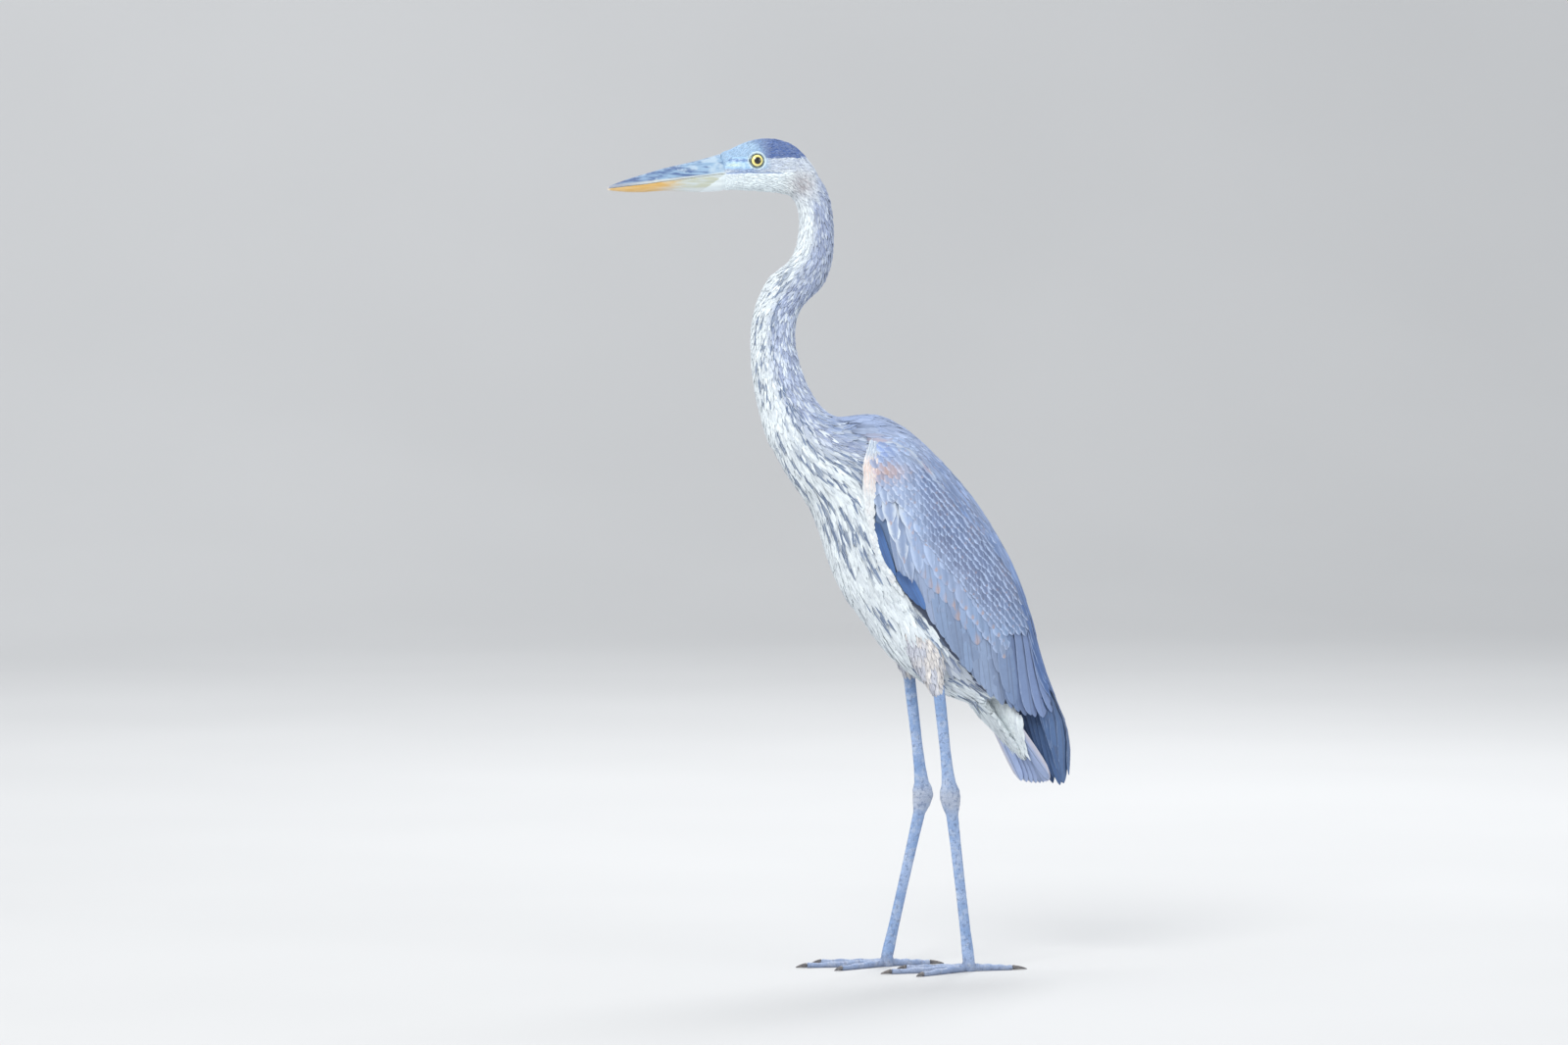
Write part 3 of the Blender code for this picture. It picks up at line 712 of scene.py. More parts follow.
skin_paint = Shade("skin_paint")
bare_skin = skin_paint.attribute("bare")
pigment = skin_paint.attribute("pigment", "Color")
pores = skin_paint.noise(1400.0, 4.0)
folds = skin_paint.noise(1.0, 3.0, skin_paint.stretched((260.0, 500.0, 900.0)))
skin_paint.bump(folds * 0.7 + pores * 0.3, 0.0005, 0.6)
shadow = skin_paint.mix(0.35, pigment, (0.2, 0.22, 0.3), "MULTIPLY")
streaked = skin_paint.mix(folds.step(0.40, 0.75) * 0.6 * bare_skin, pigment, (0.66, 0.82, 0.92))
streaked = skin_paint.mix(folds.step(0.45, 0.25) * 0.7 * bare_skin, streaked, (0.10, 0.17, 0.36))
skin_material = skin_paint.finish(
    Base_Color=skin_paint.mix(bare_skin.step(0.05, 0.4), shadow, streaked),
    Roughness=0.85 - 0.4 * bare_skin,
)
fit("skin", skin_mesh, skin_material, flesh_nodes)

# --------------------------------------------------------------------------------------------------
# The eyes are wet balls: a black pupil, a yellow iris with fine spokes and a dark outer ring, under a clear
# cornea. Each sits in its lids in place of the solid eye.

PUPIL = 0.0038
IRIS = 0.0065

eye_paint = Shade("eye", Coat_Weight=1.0, Coat_Roughness=0.02, Roughness=0.25, IOR=1.38)
eye_x, _, eye_z = eye_paint.place().parts()
spoke_x, spoke_z = eye_x - (EYE_X - 0.0003), eye_z - EYE_Z
from_pupil = (spoke_x * spoke_x + spoke_z * spoke_z) ** 0.5
spokes = eye_paint.node("ShaderNodeCombineXYZ", {}, {
    0: spoke_x / from_pupil * 9.0, 1: from_pupil * 500.0, 2: spoke_z / from_pupil * 9.0,
})
threads = eye_paint.noise(1.0, 3.0, spokes).step(0.3, 0.7)
iris_gold = eye_paint.mix(threads, (0.86, 0.74, 0.18), (0.95, 0.90, 0.42))
iris_gold = eye_paint.mix(from_pupil.step(PUPIL, PUPIL + 0.0012), (0.55, 0.40, 0.05), iris_gold)
iris_gold = eye_paint.mix(from_pupil.step(IRIS - 0.0005, IRIS + 0.0002), iris_gold, (0.03, 0.04, 0.025))
in_iris = from_pupil.step(PUPIL - 0.0001, PUPIL + 0.0002)
eye_colour = eye_paint.mix(in_iris, (0.004, 0.004, 0.005), iris_gold)
eye_paint.bump(threads * from_pupil.step(PUPIL, IRIS), 0.0001, 0.4)
eye_material = eye_paint.finish(Base_Color=eye_colour)
for side, sign in SIDES.items():
    ball = bmesh.new()
    bmesh.ops.create_uvsphere(ball, u_segments=64, v_segments=40, radius=EYE_RADIUS * 0.995)
    outward = Vector((0, sign, 0)).to_track_quat("Z", "X").to_matrix()
    bmesh.ops.rotate(ball, verts=ball.verts, matrix=outward)
    bmesh.ops.translate(ball, verts=ball.verts, vec=(EYE_X, sign * EYE_Y, EYE_Z))
    name = "eyeball_" + side
    fit(name, smooth_mesh(ball, name), eye_material, ["eye_" + side])

# --------------------------------------------------------------------------------------------------
# The bill is two horn sheaths that meet along the gape, with their roots tucked under the skin of the face.
# The upper one has a long nasal groove with a slit nostril near its root. It is blue, streaked horn, and the
# lower one is golden with a pale root and chin.

BILL_GRAIN = 0.0007
BILL_TUCK = 0.005
BILL_ROOT = bill_high.x
BILL_LENGTH = BILL_ROOT - bill_low.x
GAPE_HEIGHT = 0.8995
LOWER_GROOVE_HEIGHT = 0.8900
SHEATH_HEIGHT = 0.020


def horn(name, node, shape_edit, finish):
    """One sheath made from its solid, edited, and tucked a little under the skin at its root."""
    shape = remeshed(merged([node], 0.0001), BILL_GRAIN, 2)
    places, normals = coordinates(shape), directions(shape)
    along = (BILL_ROOT - places[:, 0]) / BILL_LENGTH
    places = places + normals * shape_edit(places, normals, along)[:, None]
    tucked = ease(places[:, 0], BILL_ROOT - 0.0025, BILL_ROOT - 0.0003)
    places[:, 0] += BILL_TUCK * tucked
    middle_z = (bill_low.z + bill_high.z) / 2
    places[:, 1] *= 1 - 0.16 * tucked
    places[:, 2] += (middle_z - places[:, 2]) * 0.08 * tucked
    set_coordinates(shape, places)
    fit(name, smooth_mesh(shape, name), finish, [node])


def upper_edit(places, normals, along):
    """How far out each place of the upper sheath moves: a nasal groove and nostril are pressed in."""
    side = np.abs(normals[:, 1]) > 0.35
    height = (places[:, 2] - GAPE_HEIGHT) / MM
    groove_height = 13.2 - 14.5 * along
    groove = np.exp(-(((height - groove_height) / 1.5) ** 2)) * ease(along, 0.62, 0.4) * side
    slit = np.exp(-(((height - groove_height + 0.9) / 0.9) ** 2) - ((along - 0.13) / 0.045) ** 2) * side
    return -0.0007 * groove - 0.0011 * slit


def lower_edit(places, normals, along):
    """The lower sheath has a shallow groove along each side toward the root."""
    side = np.abs(normals[:, 1]) > 0.35
    height = (places[:, 2] - LOWER_GROOVE_HEIGHT) / MM
    return -0.0004 * np.exp(-((height / 1.6) ** 2)) * ease(along, 0.7, 0.3) * side


def bill_streaks(shade, stretch):
    return shade.noise(1.0, 5.0, shade.stretched(stretch))


def horn_shade(name, roughness):
    """A horn finish to mix, the x and z on it, and the share of the way from the bill's root to its tip."""
    shade = Shade(name, Roughness=roughness, Coat_Weight=0.25, Coat_Roughness=0.2)
    x, _, z = shade.place().parts()
    return shade, x, z, (BILL_ROOT - x) / BILL_LENGTH


bill_paint, _, bill_z, bill_along = horn_shade("upper_bill", 0.32)
streaks = bill_streaks(bill_paint, (42.0, 260.0, 420.0))
patches = bill_streaks(bill_paint, (90.0, 120.0, 160.0))
height_share = (bill_z - GAPE_HEIGHT + 0.0145 * bill_along) * (1 / SHEATH_HEIGHT)
paler = bill_along.step(0.5, 0.02) * 0.15
horn_blue = bill_paint.mix((streaks + paler).step(0.42, 0.64), (0.085, 0.15, 0.34), (0.40, 0.60, 0.80))
horn_blue = bill_paint.mix((patches + paler).step(0.58, 0.76) * 0.75, horn_blue, (0.70, 0.86, 0.95))
horn_blue = bill_paint.mix(0.375, horn_blue, (0.06, 0.10, 0.20))
horn_blue = bill_paint.mix(height_share.step(0.13, 0.02) * 0.7, horn_blue, (0.66, 0.68, 0.62))
horn_blue = bill_paint.mix(bill_along.step(0.55, 0.95) * 0.55, horn_blue, (0.12, 0.15, 0.27))
horn_blue = bill_paint.mix(bill_along.step(0.975, 0.995) * 0.8, horn_blue, (0.6, 0.58, 0.55))
bill_paint.bump(streaks * 0.6 + patches * 0.4, 0.0004, 0.5)
upper_horn = bill_paint.finish(Base_Color=horn_blue)
horn("bill_upper_sheath", "bill_upper", upper_edit, upper_horn)

bill_paint, bill_x, bill_z, bill_along = horn_shade("lower_bill", 0.34)
streaks = bill_streaks(bill_paint, (50.0, 300.0, 420.0))
near_base = (1.0 - bill_along + (streaks - 0.5) * 0.25).step(0.42, 0.72)
horn_gold = bill_paint.mix(streaks.step(0.3, 0.7), (0.60, 0.37, 0.11), (0.66, 0.46, 0.22))
horn_pale = bill_paint.mix(streaks.step(0.35, 0.65), (0.47, 0.50, 0.40), (0.53, 0.59, 0.60))
horn_gold = bill_paint.mix(near_base, horn_gold, horn_pale)
keel_white = (bill_z - (0.8850 - 0.003 * bill_along)).step(0.001, -0.0015) * near_base
horn_gold = bill_paint.mix(keel_white * 0.7, horn_gold, (0.66, 0.72, 0.76))
chin_line = 0.8985 - 0.75 * (BILL_ROOT - bill_x) - bill_z
chin_white = (chin_line + (streaks - 0.5) * 0.004).step(-0.001, 0.001)
horn_gold = bill_paint.mix(chin_white * 0.85, horn_gold, (0.70, 0.78, 0.82))
horn_gold = bill_paint.mix(bill_along.step(0.96, 0.99) * 0.7, horn_gold, (0.8, 0.76, 0.68))
bill_paint.bump(streaks, 0.0003, 0.4)
lower_horn = bill_paint.finish(Base_Color=horn_gold)
horn("bill_lower_sheath", "bill_lower", lower_edit, lower_horn)

# --------------------------------------------------------------------------------------------------
# Each bare leg is one scaly skin from under the thigh's feathers to the toes: broad plates down the front of
# the shank and over the toes, and a net of small scales everywhere else.

LEG_GRAIN = 0.00095
TOE_PLATE = 0.0042
SHANK_PLATE = 0.0058
LEG_TUCK = np.array((-0.0018, 0.0, 0.016))
PLATE_RELIEF = 0.0002
SKIN_SINK = 0.0002
SOLE_TOP = 0.0006
SOLE = 0.0002
KNUCKLE = 0.016
WRINKLE = 0.0023
WRINKLE_RELIEF = 0.0007
LEG_NODES = ["shank", "ankle", "tarsus", "foot", "toe_middle", "toe_outer", "toe_inner", "toe_hind"]

leg_paint = Shade("leg_skin")
_, _, leg_z = leg_paint.place().parts()
plate_line = leg_paint.attribute("plate")
net = leg_paint.node("ShaderNodeTexVoronoi", {"feature": "DISTANCE_TO_EDGE"}, {
    "Vector": leg_paint.stretched((640.0, 640.0, 470.0)), "Scale": 1.0, "Randomness": 0.8,
})
net_line = net.step(0.0, 0.2)
relief = net_line * (1.0 - plate_line) + leg_paint.attribute("ridge") * plate_line
wash = leg_paint.noise(38.0, 4.0)
spots = leg_paint.noise(240.0, 3.0).step(0.54, 0.66)
leg_grey = leg_paint.mix(wash.step(0.35, 0.68), (0.23, 0.36, 0.62), (0.36, 0.48, 0.72))
mottle = leg_paint.noise(125.0, 3.0).step(0.5, 0.64)
leg_grey = leg_paint.mix(mottle * 0.5, leg_grey, (0.50, 0.59, 0.74))
leg_grey = leg_paint.mix(leg_paint.attribute("joint") * (0.35 + 0.4 * wash), leg_grey, (0.50, 0.50, 0.52))
leg_grey = leg_paint.mix(spots * 0.6, leg_grey, (0.14, 0.19, 0.33))
leg_grey = leg_paint.mix((1.0 - relief) * 0.3, leg_grey, (0.12, 0.16, 0.26))
leg_grey = leg_paint.mix(leg_z.step(0.02, 0.004) * 0.35, leg_grey, (0.22, 0.20, 0.22))
leg_paint.bump(relief, 0.0005, 0.7)
leg_material = leg_paint.finish(Base_Color=leg_grey, Roughness=0.62 - 0.15 * relief)

for side in SIDES:
    nodes = [f"{node}_{side}" for node in LEG_NODES]
    shape = remeshed(merged(nodes, 0.0002), LEG_GRAIN, 3)
    places, normals = coordinates(shape), directions(shape)
    foot_low, foot_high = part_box("foot_" + side)
    ankle_low, ankle_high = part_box("ankle_" + side)
    foot_middle = (foot_low + foot_high) / 2
    from_foot = np.hypot(places[:, 0] - foot_middle.x, places[:, 1] - foot_middle.y)
    on_toe = ease(-places[:, 2], -0.016, -0.011)
    toe_ridge = np.abs(np.sin(math.pi * from_foot / TOE_PLATE)) ** 0.5
    leg_ridge = np.abs(np.sin(math.pi * places[:, 2] / SHANK_PLATE)) ** 0.5
    on_front = ease(-normals[:, 0], 0.35, 0.75) * (1 - on_toe)
    on_top = ease(normals[:, 2], 0.1, 0.6) * on_toe * ease(from_foot, 0.009, 0.013)
    ridge = np.where(on_toe > 0.5, toe_ridge, leg_ridge)
    plate = np.maximum(on_front, on_top)
    sole = places[:, 2] < SOLE_TOP
    places = places + normals * (plate * (ridge - 0.7) * PLATE_RELIEF - SKIN_SINK)[:, None]
    ankle_middle = (ankle_low.z + ankle_high.z) / 2
    knuckle = np.exp(-(((places[:, 2] - ankle_middle) / KNUCKLE) ** 2))
    wrinkle = grain(places[:, 2] / WRINKLE, np.arctan2(places[:, 1], places[:, 0]) * 9, 31)
    places = places + normals * (knuckle * (wrinkle - 0.5) * WRINKLE_RELIEF * (1 - plate))[:, None]
    places[sole, 2] = np.minimum(places[sole, 2], SOLE)
    shank_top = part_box("shank_" + side)[1].z
    places += LEG_TUCK * ease(places[:, 2], shank_top - 0.004, shank_top - 0.001)[:, None]
    places[:, 2] = np.maximum(places[:, 2], 0.0)
    set_coordinates(shape, places)
    name = "leg_skin_" + side
    mesh = smooth_mesh(shape, name)
    give(mesh, "plate", "FLOAT", plate)
    give(mesh, "ridge", "FLOAT", ridge)
    give(mesh, "joint", "FLOAT", knuckle)
    fit(name, mesh, leg_material, nodes)

# --------------------------------------------------------------------------------------------------
# The claws are dark horn, curved and tapering, one on each toe. The four of a foot are one piece, with the
# facets of their solids rounded off.

claw_paint = Shade("claw", Coat_Weight=0.2, Roughness=0.42)
claw_grain = claw_paint.noise(1.0, 4.0, claw_paint.stretched((300.0, 900.0, 900.0)))
claw_paint.bump(claw_grain, 0.0002, 0.5)
claw_material = claw_paint.finish(
    Base_Color=claw_paint.mix(claw_grain.step(0.35, 0.7), (0.07, 0.07, 0.08), (0.20, 0.18, 0.17)),
)
for side in SIDES:
    nodes = [f"claw_{toe}_{side}" for toe in ("middle", "outer", "inner", "hind")]
    shape = merged(nodes)
    bmesh.ops.recalc_face_normals(shape, faces=shape.faces)
    name = "claws_" + side
    claws = fit(name, smooth_mesh(shape, name), claw_material, nodes)
    rounding = claws.modifiers.new("rounding", "SUBSURF")
    rounding.levels = rounding.render_levels = 2

# --------------------------------------------------------------------------------------------------
# Every feather is a thin closed vane with a raised shaft. Its spine is combed over a surface from root to
# tip, and its two webs narrow to the tip. Thousands are joined into one mesh, each with a small patch of its
# own on an unwrap of the bird: round the body across the sheet, and along the body up it.

TUFT_PATCH = 0.003
SHEET_EDGE = 0.02
SHARP_RIM = math.radians(50.0)

# A vane's outline: share of the length, then share of the half width there.
TUFT = ((0.0, 0.55), (0.3, 1.0), (0.62, 0.88), (0.87, 0.5), (1.0, 0.07))
SCALE = ((0.0, 0.5), (0.3, 0.95), (0.6, 1.0), (0.82, 0.86), (0.94, 0.52), (1.0, 0.12))
POINTED = ((0.0, 0.5), (0.25, 0.95), (0.5, 1.0), (0.72, 0.8), (0.88, 0.45), (1.0, 0.06))
LONG = (
    (0.0, 0.6), (0.12, 0.9), (0.3, 1.0), (0.5, 1.0), (0.68, 0.99), (0.82, 0.93), (0.91, 0.78), (0.96, 0.55),
    (0.985, 0.33), (1.0, 0.08),
)
QUILL = (
    (0.0, 0.6), (0.15, 0.95), (0.35, 1.0), (0.55, 1.0), (0.72, 0.93), (0.84, 0.78), (0.92, 0.58),
    (0.97, 0.34), (1.0, 0.08),
)
# A vane's cross-section, round from one rim to the other and back underneath: share across, then share of the
# camber and share of the thickness.
THIN = ((-1.0, 0.0, 0.0), (0.0, 1.0, 1.0), (1.0, 0.0, 0.0), (0.0, 1.0, -0.3))
BROAD = (
    (-1.0, 0.0, 0.0), (-0.5, 0.72, 0.5), (0.0, 1.0, 1.4), (0.5, 0.72, 0.5), (1.0, 0.0, 0.0),
    (0.5, 0.72, -0.5), (0.0, 1.0, -0.6), (-0.5, 0.72, -0.5),
)


def combed(tree, roots, headings, lengths, outline, keep_heading=False, free=2.0):
    """Spines of feathers and the surface's normals under them, one point for each place of the outline.
    Past the free share of its length, a feather runs straight on."""
    shares = [share for share, _ in outline]
    spines = np.empty((len(roots), len(shares), 3))
    normals = np.empty_like(spines)
    feathers = zip(roots.tolist(), headings.tolist(), lengths.tolist())
    for index, (root, heading, length) in enumerate(feathers):
        place, way = Vector(root), Vector(heading)
        reached = 0.0
        for number, share in enumerate(shares):
            place = place + way * (share - reached) * length
            reached = share
            if share < free:
                place, normal = tree.find_nearest(place)[:2]
                run = Vector(heading) if keep_heading else way
                way = (run - normal * run.dot(normal)).normalized()
            spines[index, number] = place
            normals[index, number] = normal
    return spines, normals


def vanes(name, spines, normals, outline, section, half_widths, lifts, colours, rims, finish,
          camber=0.12, thickness=0.00022, waver=0.06, roll=0.0, seed=1, spots=None, replaced=()):
    """Joins one vane for each spine into one piece. lifts are heights over the surface at root and tip."""
    chance = np.random.default_rng(seed)
    count, stations, around = len(spines), len(outline), len(section)
    shares, spread = np.array(outline).T
    across, rise, slab = np.array(section).T
    run = unit(np.gradient(spines, axis=1))
    side = unit(np.cross(normals, run))
    up = unit(np.cross(run, side))
    half = half_widths[:, None] * spread * (1 + waver * chance.uniform(-1, 1, (count, stations)))
    height = lifts[:, :1] + (lifts[:, 1:] - lifts[:, :1]) * shares**0.8
    spines = spines + normals * height[..., None]
    half = half[:, :, None]
    raised = half * (camber * (rise - 0.5) + roll * across) + thickness * slab
    places = (
        spines[:, :, None, :]
        + side[:, :, None, :] * (half * across)[..., None]
        + up[:, :, None, :] * raised[..., None]
    ).reshape(-1, 3)
    ring = np.arange(around)
    onward = np.roll(ring, -1)
    start = np.arange(stations - 1)[:, None] * around
    strip = np.stack([start + ring, start + onward, start + around + onward, start + around + ring], axis=-1)
    strip = strip.reshape(-1, 4)
    first = np.arange(count) * stations * around
    quads = (first[:, None, None] + strip[:, ::-1]).reshape(-1, 4)
    root_cap = first[:, None] + ring
    tip_cap = first[:, None] + (stations - 1) * around + ring[::-1]
    corners = np.concatenate([quads.ravel(), root_cap.ravel(), tip_cap.ravel()])
    face_sizes = np.concatenate([np.full(len(quads), 4), np.full(2 * count, around)])
    mesh = bpy.data.meshes.new(name)
    mesh.vertices.add(len(places))
    mesh.vertices.foreach_set("co", places.astype(np.float32).ravel())
    mesh.loops.add(len(corners))
    mesh.loops.foreach_set("vertex_index", corners.astype(np.int32))
    mesh.polygons.add(len(face_sizes))
    face_starts = np.concatenate([[0], np.cumsum(face_sizes)[:-1]])
    mesh.polygons.foreach_set("loop_start", face_starts.astype(np.int32))
    mesh.update(calc_edges=True)
    mesh.polygons.foreach_set("use_smooth", np.ones(len(face_sizes), bool))
    mesh.set_sharp_from_angle(angle=SHARP_RIM)

    def each(values):
        return np.repeat(values, stations * around, axis=0)

    along = np.tile(np.repeat(shares, around), count)
    over = np.tile(across, count * stations)
    give(mesh, "pigment", "FLOAT_COLOR", each(colours))
    give(mesh, "rim", "FLOAT_COLOR", each(rims))
    give(mesh, "vane", "FLOAT_VECTOR", np.column_stack([along, over, np.zeros(len(over))]))
    give(mesh, "luck", "FLOAT", each(chance.uniform(0, 1, count)))
    give(mesh, "spot", "FLOAT", each(np.zeros(count) if spots is None else spots))
    body_run, _, body_angle, _ = on_body(spines[:, 0])
    sheet_u = SHEET_EDGE + (1 - 2 * SHEET_EDGE) * (body_angle / (2 * math.pi) + 0.5)
    low, high = body_run.min(), body_run.max()
    sheet_v = SHEET_EDGE + (1 - 2 * SHEET_EDGE) * (body_run - low) / max(high - low, 1e-6)
    patch_u, patch_v = over * TUFT_PATCH / 2, (along - 0.5) * TUFT_PATCH
    sheet = np.column_stack([each(sheet_u) + patch_u, each(sheet_v) + patch_v])
    unwrap = mesh.uv_layers.new(name="OFBake")
    unwrap.data.foreach_set("uv", sheet[corners].astype(np.float32).ravel())
    mesh.validate()
    return fit(name, mesh, finish, replaced)


SPOT_RUST = (0.56, 0.37, 0.29)


def plumage(name, rim_from, rim_to, shaft, relief, roughness=0.75, rim_reach=0.25):
    """The finish of a kind of feather: its own colour, rims of another colour along both sides, a dark shaft
    and a fine ragged relief."""
    shade = Shade(name, Sheen_Weight=0.06, Sheen_Roughness=0.5, Specular_IOR_Level=0.3)
    along, over, _ = shade.attribute("vane", "Vector").parts()
    luck = shade.attribute("luck")
    from_shaft = abs(over)
    edge = (from_shaft * from_shaft * 0.72 + rim_reach) ** 0.5
    cloud = shade.noise(160.0, 3.0)
    fringe = (edge + (cloud - 0.5) * 0.35).step(rim_from, rim_to)
    colour = shade.mix(fringe, shade.attribute("pigment", "Color"), shade.attribute("rim", "Color"))
    shadow = (luck - 0.5) * 0.3 + (cloud - 0.5) * 0.3 + 0.2
    colour = shade.mix(shadow, colour, (0.30, 0.32, 0.40), "MULTIPLY")
    spot = (along - from_shaft * 0.16 + (cloud - 0.5) * 0.1).step(0.79, 0.93) * shade.attribute("spot")
    colour = shade.mix(spot * 0.6, colour, SPOT_RUST)
    shaft_line = from_shaft.step(0.14, 0.03)
    colour = shade.mix(shaft_line * shaft, colour, (0.09, 0.10, 0.14))
    root_shade = along.step(0.45, 0.0)
    colour = shade.mix(root_shade * 0.45, colour, (0.16, 0.17, 0.22), "MULTIPLY")
    shade.bump(shade.noise(900.0, 2.0), relief, 0.7)
    return shade.finish(Base_Color=colour, Roughness=roughness + 0.1 * cloud)


# --------------------------------------------------------------------------------------------------
# The small feathers of head, neck, trunk, thighs and undertail. They are set out evenly over the skin,
# closest and shortest on the face, and grow long and narrow down the neck and breast.

skin_mesh.calc_loop_triangles()
skin_corners = np.array([triangle.vertices[:] for triangle in skin_mesh.loop_triangles])
corner_places = skin_places[skin_corners]
two_sides = corner_places[:, 1:] - corner_places[:, :1]
skin_areas = np.linalg.norm(np.cross(two_sides[:, 0], two_sides[:, 1]), axis=1) / 2
CANDIDATES = 5


def scattered(spacing, seed):
    """Places spread over the skin, no two nearer than the spacing there. Zero spacing grows none."""
    chance = np.random.default_rng(seed)
    near = spacing[skin_corners]
    wide = np.where(near.min(axis=1) > 0, near.mean(axis=1), 0.0)
    weight = np.where(wide > 0, skin_areas / np.maximum(wide, 1e-6) ** 2, 0.0)
    count = int(weight.sum() * CANDIDATES)
    chosen = chance.choice(len(weight), count, p=weight / weight.sum())
    u, v = chance.uniform(0, 1, (2, count))
    past = u + v > 1
    u, v = np.where(past, 1 - u, u), np.where(past, 1 - v, v)
    a, b, c = (corner_places[chosen, corner] for corner in range(3))
    places = a + (b - a) * u[:, None] + (c - a) * v[:, None]
    tree = KDTree(count)
    for index, place in enumerate(places.tolist()):
        tree.insert(place, index)
    tree.balance()
    free = np.ones(count, bool)
    kept = []
    for index, place in enumerate(places.tolist()):
        if free[index]:
            kept.append(index)
            for _, other, _ in tree.find_range(place, wide[chosen[index]]):
                free[other] = False
    kept = np.array(kept)
    return places[kept], skin_corners[chosen[kept], 0]


def turned(headings, normals, angles):
    """Headings laid on the surface and turned in it by the given angles."""
    flat = unit(headings - normals * np.sum(headings * normals, axis=1)[:, None])
    return flat * np.cos(angles)[:, None] + np.cross(normals, flat) * np.sin(angles)[:, None]


skin_x, _, skin_z = skin_places.T
skin_front = math.pi - np.abs(skin_angle)
on_neck = ease(skin_z, 0.866, 0.886) * skin_part_is["neck"] * ease(-skin_x, 0.02, 0.03)
near_bill = ease(-skin_x, 0.112, 0.132)
REGIONS = {
    "low_neck": ease(-skin_z, -0.70, -0.58),
    "breast": ease(-skin_z, -0.60, -0.52),
    "belly": ease(-skin_z, -0.46, -0.38),
    "back": ease(skin_front, 1.7, 2.3) * ease(-skin_z, -0.66, -0.62),
    "head": np.maximum(skin_part_is["head"], on_neck),
    "face": np.maximum(ease(away, 0.022, 0.010) * beside, near_bill) * skin_part_is["head"],
}
# The sizes of the feathers, in millimetres: at the top of the neck, then what they pass to in each region in
# turn, and last on the thighs and the undertail.
SIZES = {
    "spacing": (2.5, 3.1, 3.7, 4.3, 4.2, 1.9, 1.35, 3.0, 3.6),
    "length": (11.0, 17.0, 25.0, 28.0, 19.0, 6.4, 3.2, 11.0, 26.0),
    "half_width": (1.5, 1.9, 2.3, 2.7, 3.6, 1.15, 0.75, 1.6, 2.6),
    "tip_lift": (1.7, 1.7, 2.4, 2.8, 2.4, 1.0, 0.5, 2.2, 2.4),
}


def over_skin(first, *steps):
    """A size at every point of the skin."""
    value = np.full(len(skin_places), first)
    for target, share in zip(steps, REGIONS.values()):
        value = value * (1 - share) + target * share
    for part, target in zip(("thigh", "undertail"), steps[-2:]):
        value[skin_part_is[part]] = target
    return value * MM


spacing, length, half_width, tip_lift = (over_skin(*steps) for steps in SIZES.values())
bald = (np.maximum(bare, lid_mask) > 0.5) | (on_cheek & (away < LID_OPENING + 2.2 * LID_WIDTH))
bald |= (crease > 0.5) | (skin_x < bill_high.x + np.where(skin_z > 0.912, -0.004, 0.001))
bald |= skin_part_is["trunk"] & ((skin_x > 0.185) | ((skin_front > 2.0) & (skin_z < 0.578)))
bald |= skin_part_is["wing"] & ((behind_edge(skin_places) > 0.001) | (skin_x > 0.176))
spacing[bald] = 0.0
roots, root_corner = scattered(spacing, 5)
root_normals = np.array([skin_tree.find_nearest(place)[1][:] for place in roots.tolist()])
root_run, _, root_angle, root_heading = on_body(roots)
root_part = skin_part[root_corner]
thigh_roots = root_part == PARTS.index("thigh")
undertail_roots = root_part == PARTS.index("undertail")
root_heading[thigh_roots] = THIGH_LIE
root_heading[undertail_roots] = TAIL_LIE
chance = np.random.default_rng(17)
root_heading = turned(root_heading, root_normals, chance.normal(0, 0.10, len(roots)))
root_length = length[root_corner] * chance.uniform(0.8, 1.2, len(roots))
root_half = half_width[root_corner] * chance.uniform(0.85, 1.15, len(roots))
root_tip = tip_lift[root_corner] * chance.uniform(0.6, 1.15, len(roots))
feather_middles = roots + root_heading * root_length[:, None] * 0.5
colours = coat_colours(feather_middles, root_part, root_run, root_angle)
colours = colours * chance.uniform(0.9, 1.08, (len(roots), 1))
streaked = ease(-colours[:, 0], -0.40, -0.24) * ease(-roots[:, 2], -0.745, -0.70) * (root_angle != 0)
streaked = streaked * ease(math.pi - np.abs(root_angle), 1.9, 1.6)
rims = tint(colours, WHITE, 0.35 + 0.45 * streaked)

small_feathers = plumage("small_feathers", 0.55, 1.0, 0.12, 0.0003)
breast_plumes = plumage("breast_plumes", 0.50, 0.74, 0.12, 0.0003, rim_reach=0.025)
NECK_TOP, NECK_MIDDLE, NECK_FOOT = 0.868, 0.745, 0.60
root_z = roots[:, 2]
head_or_neck = root_part <= PARTS.index("neck")
down_to_trunk = root_part <= PARTS.index("trunk")
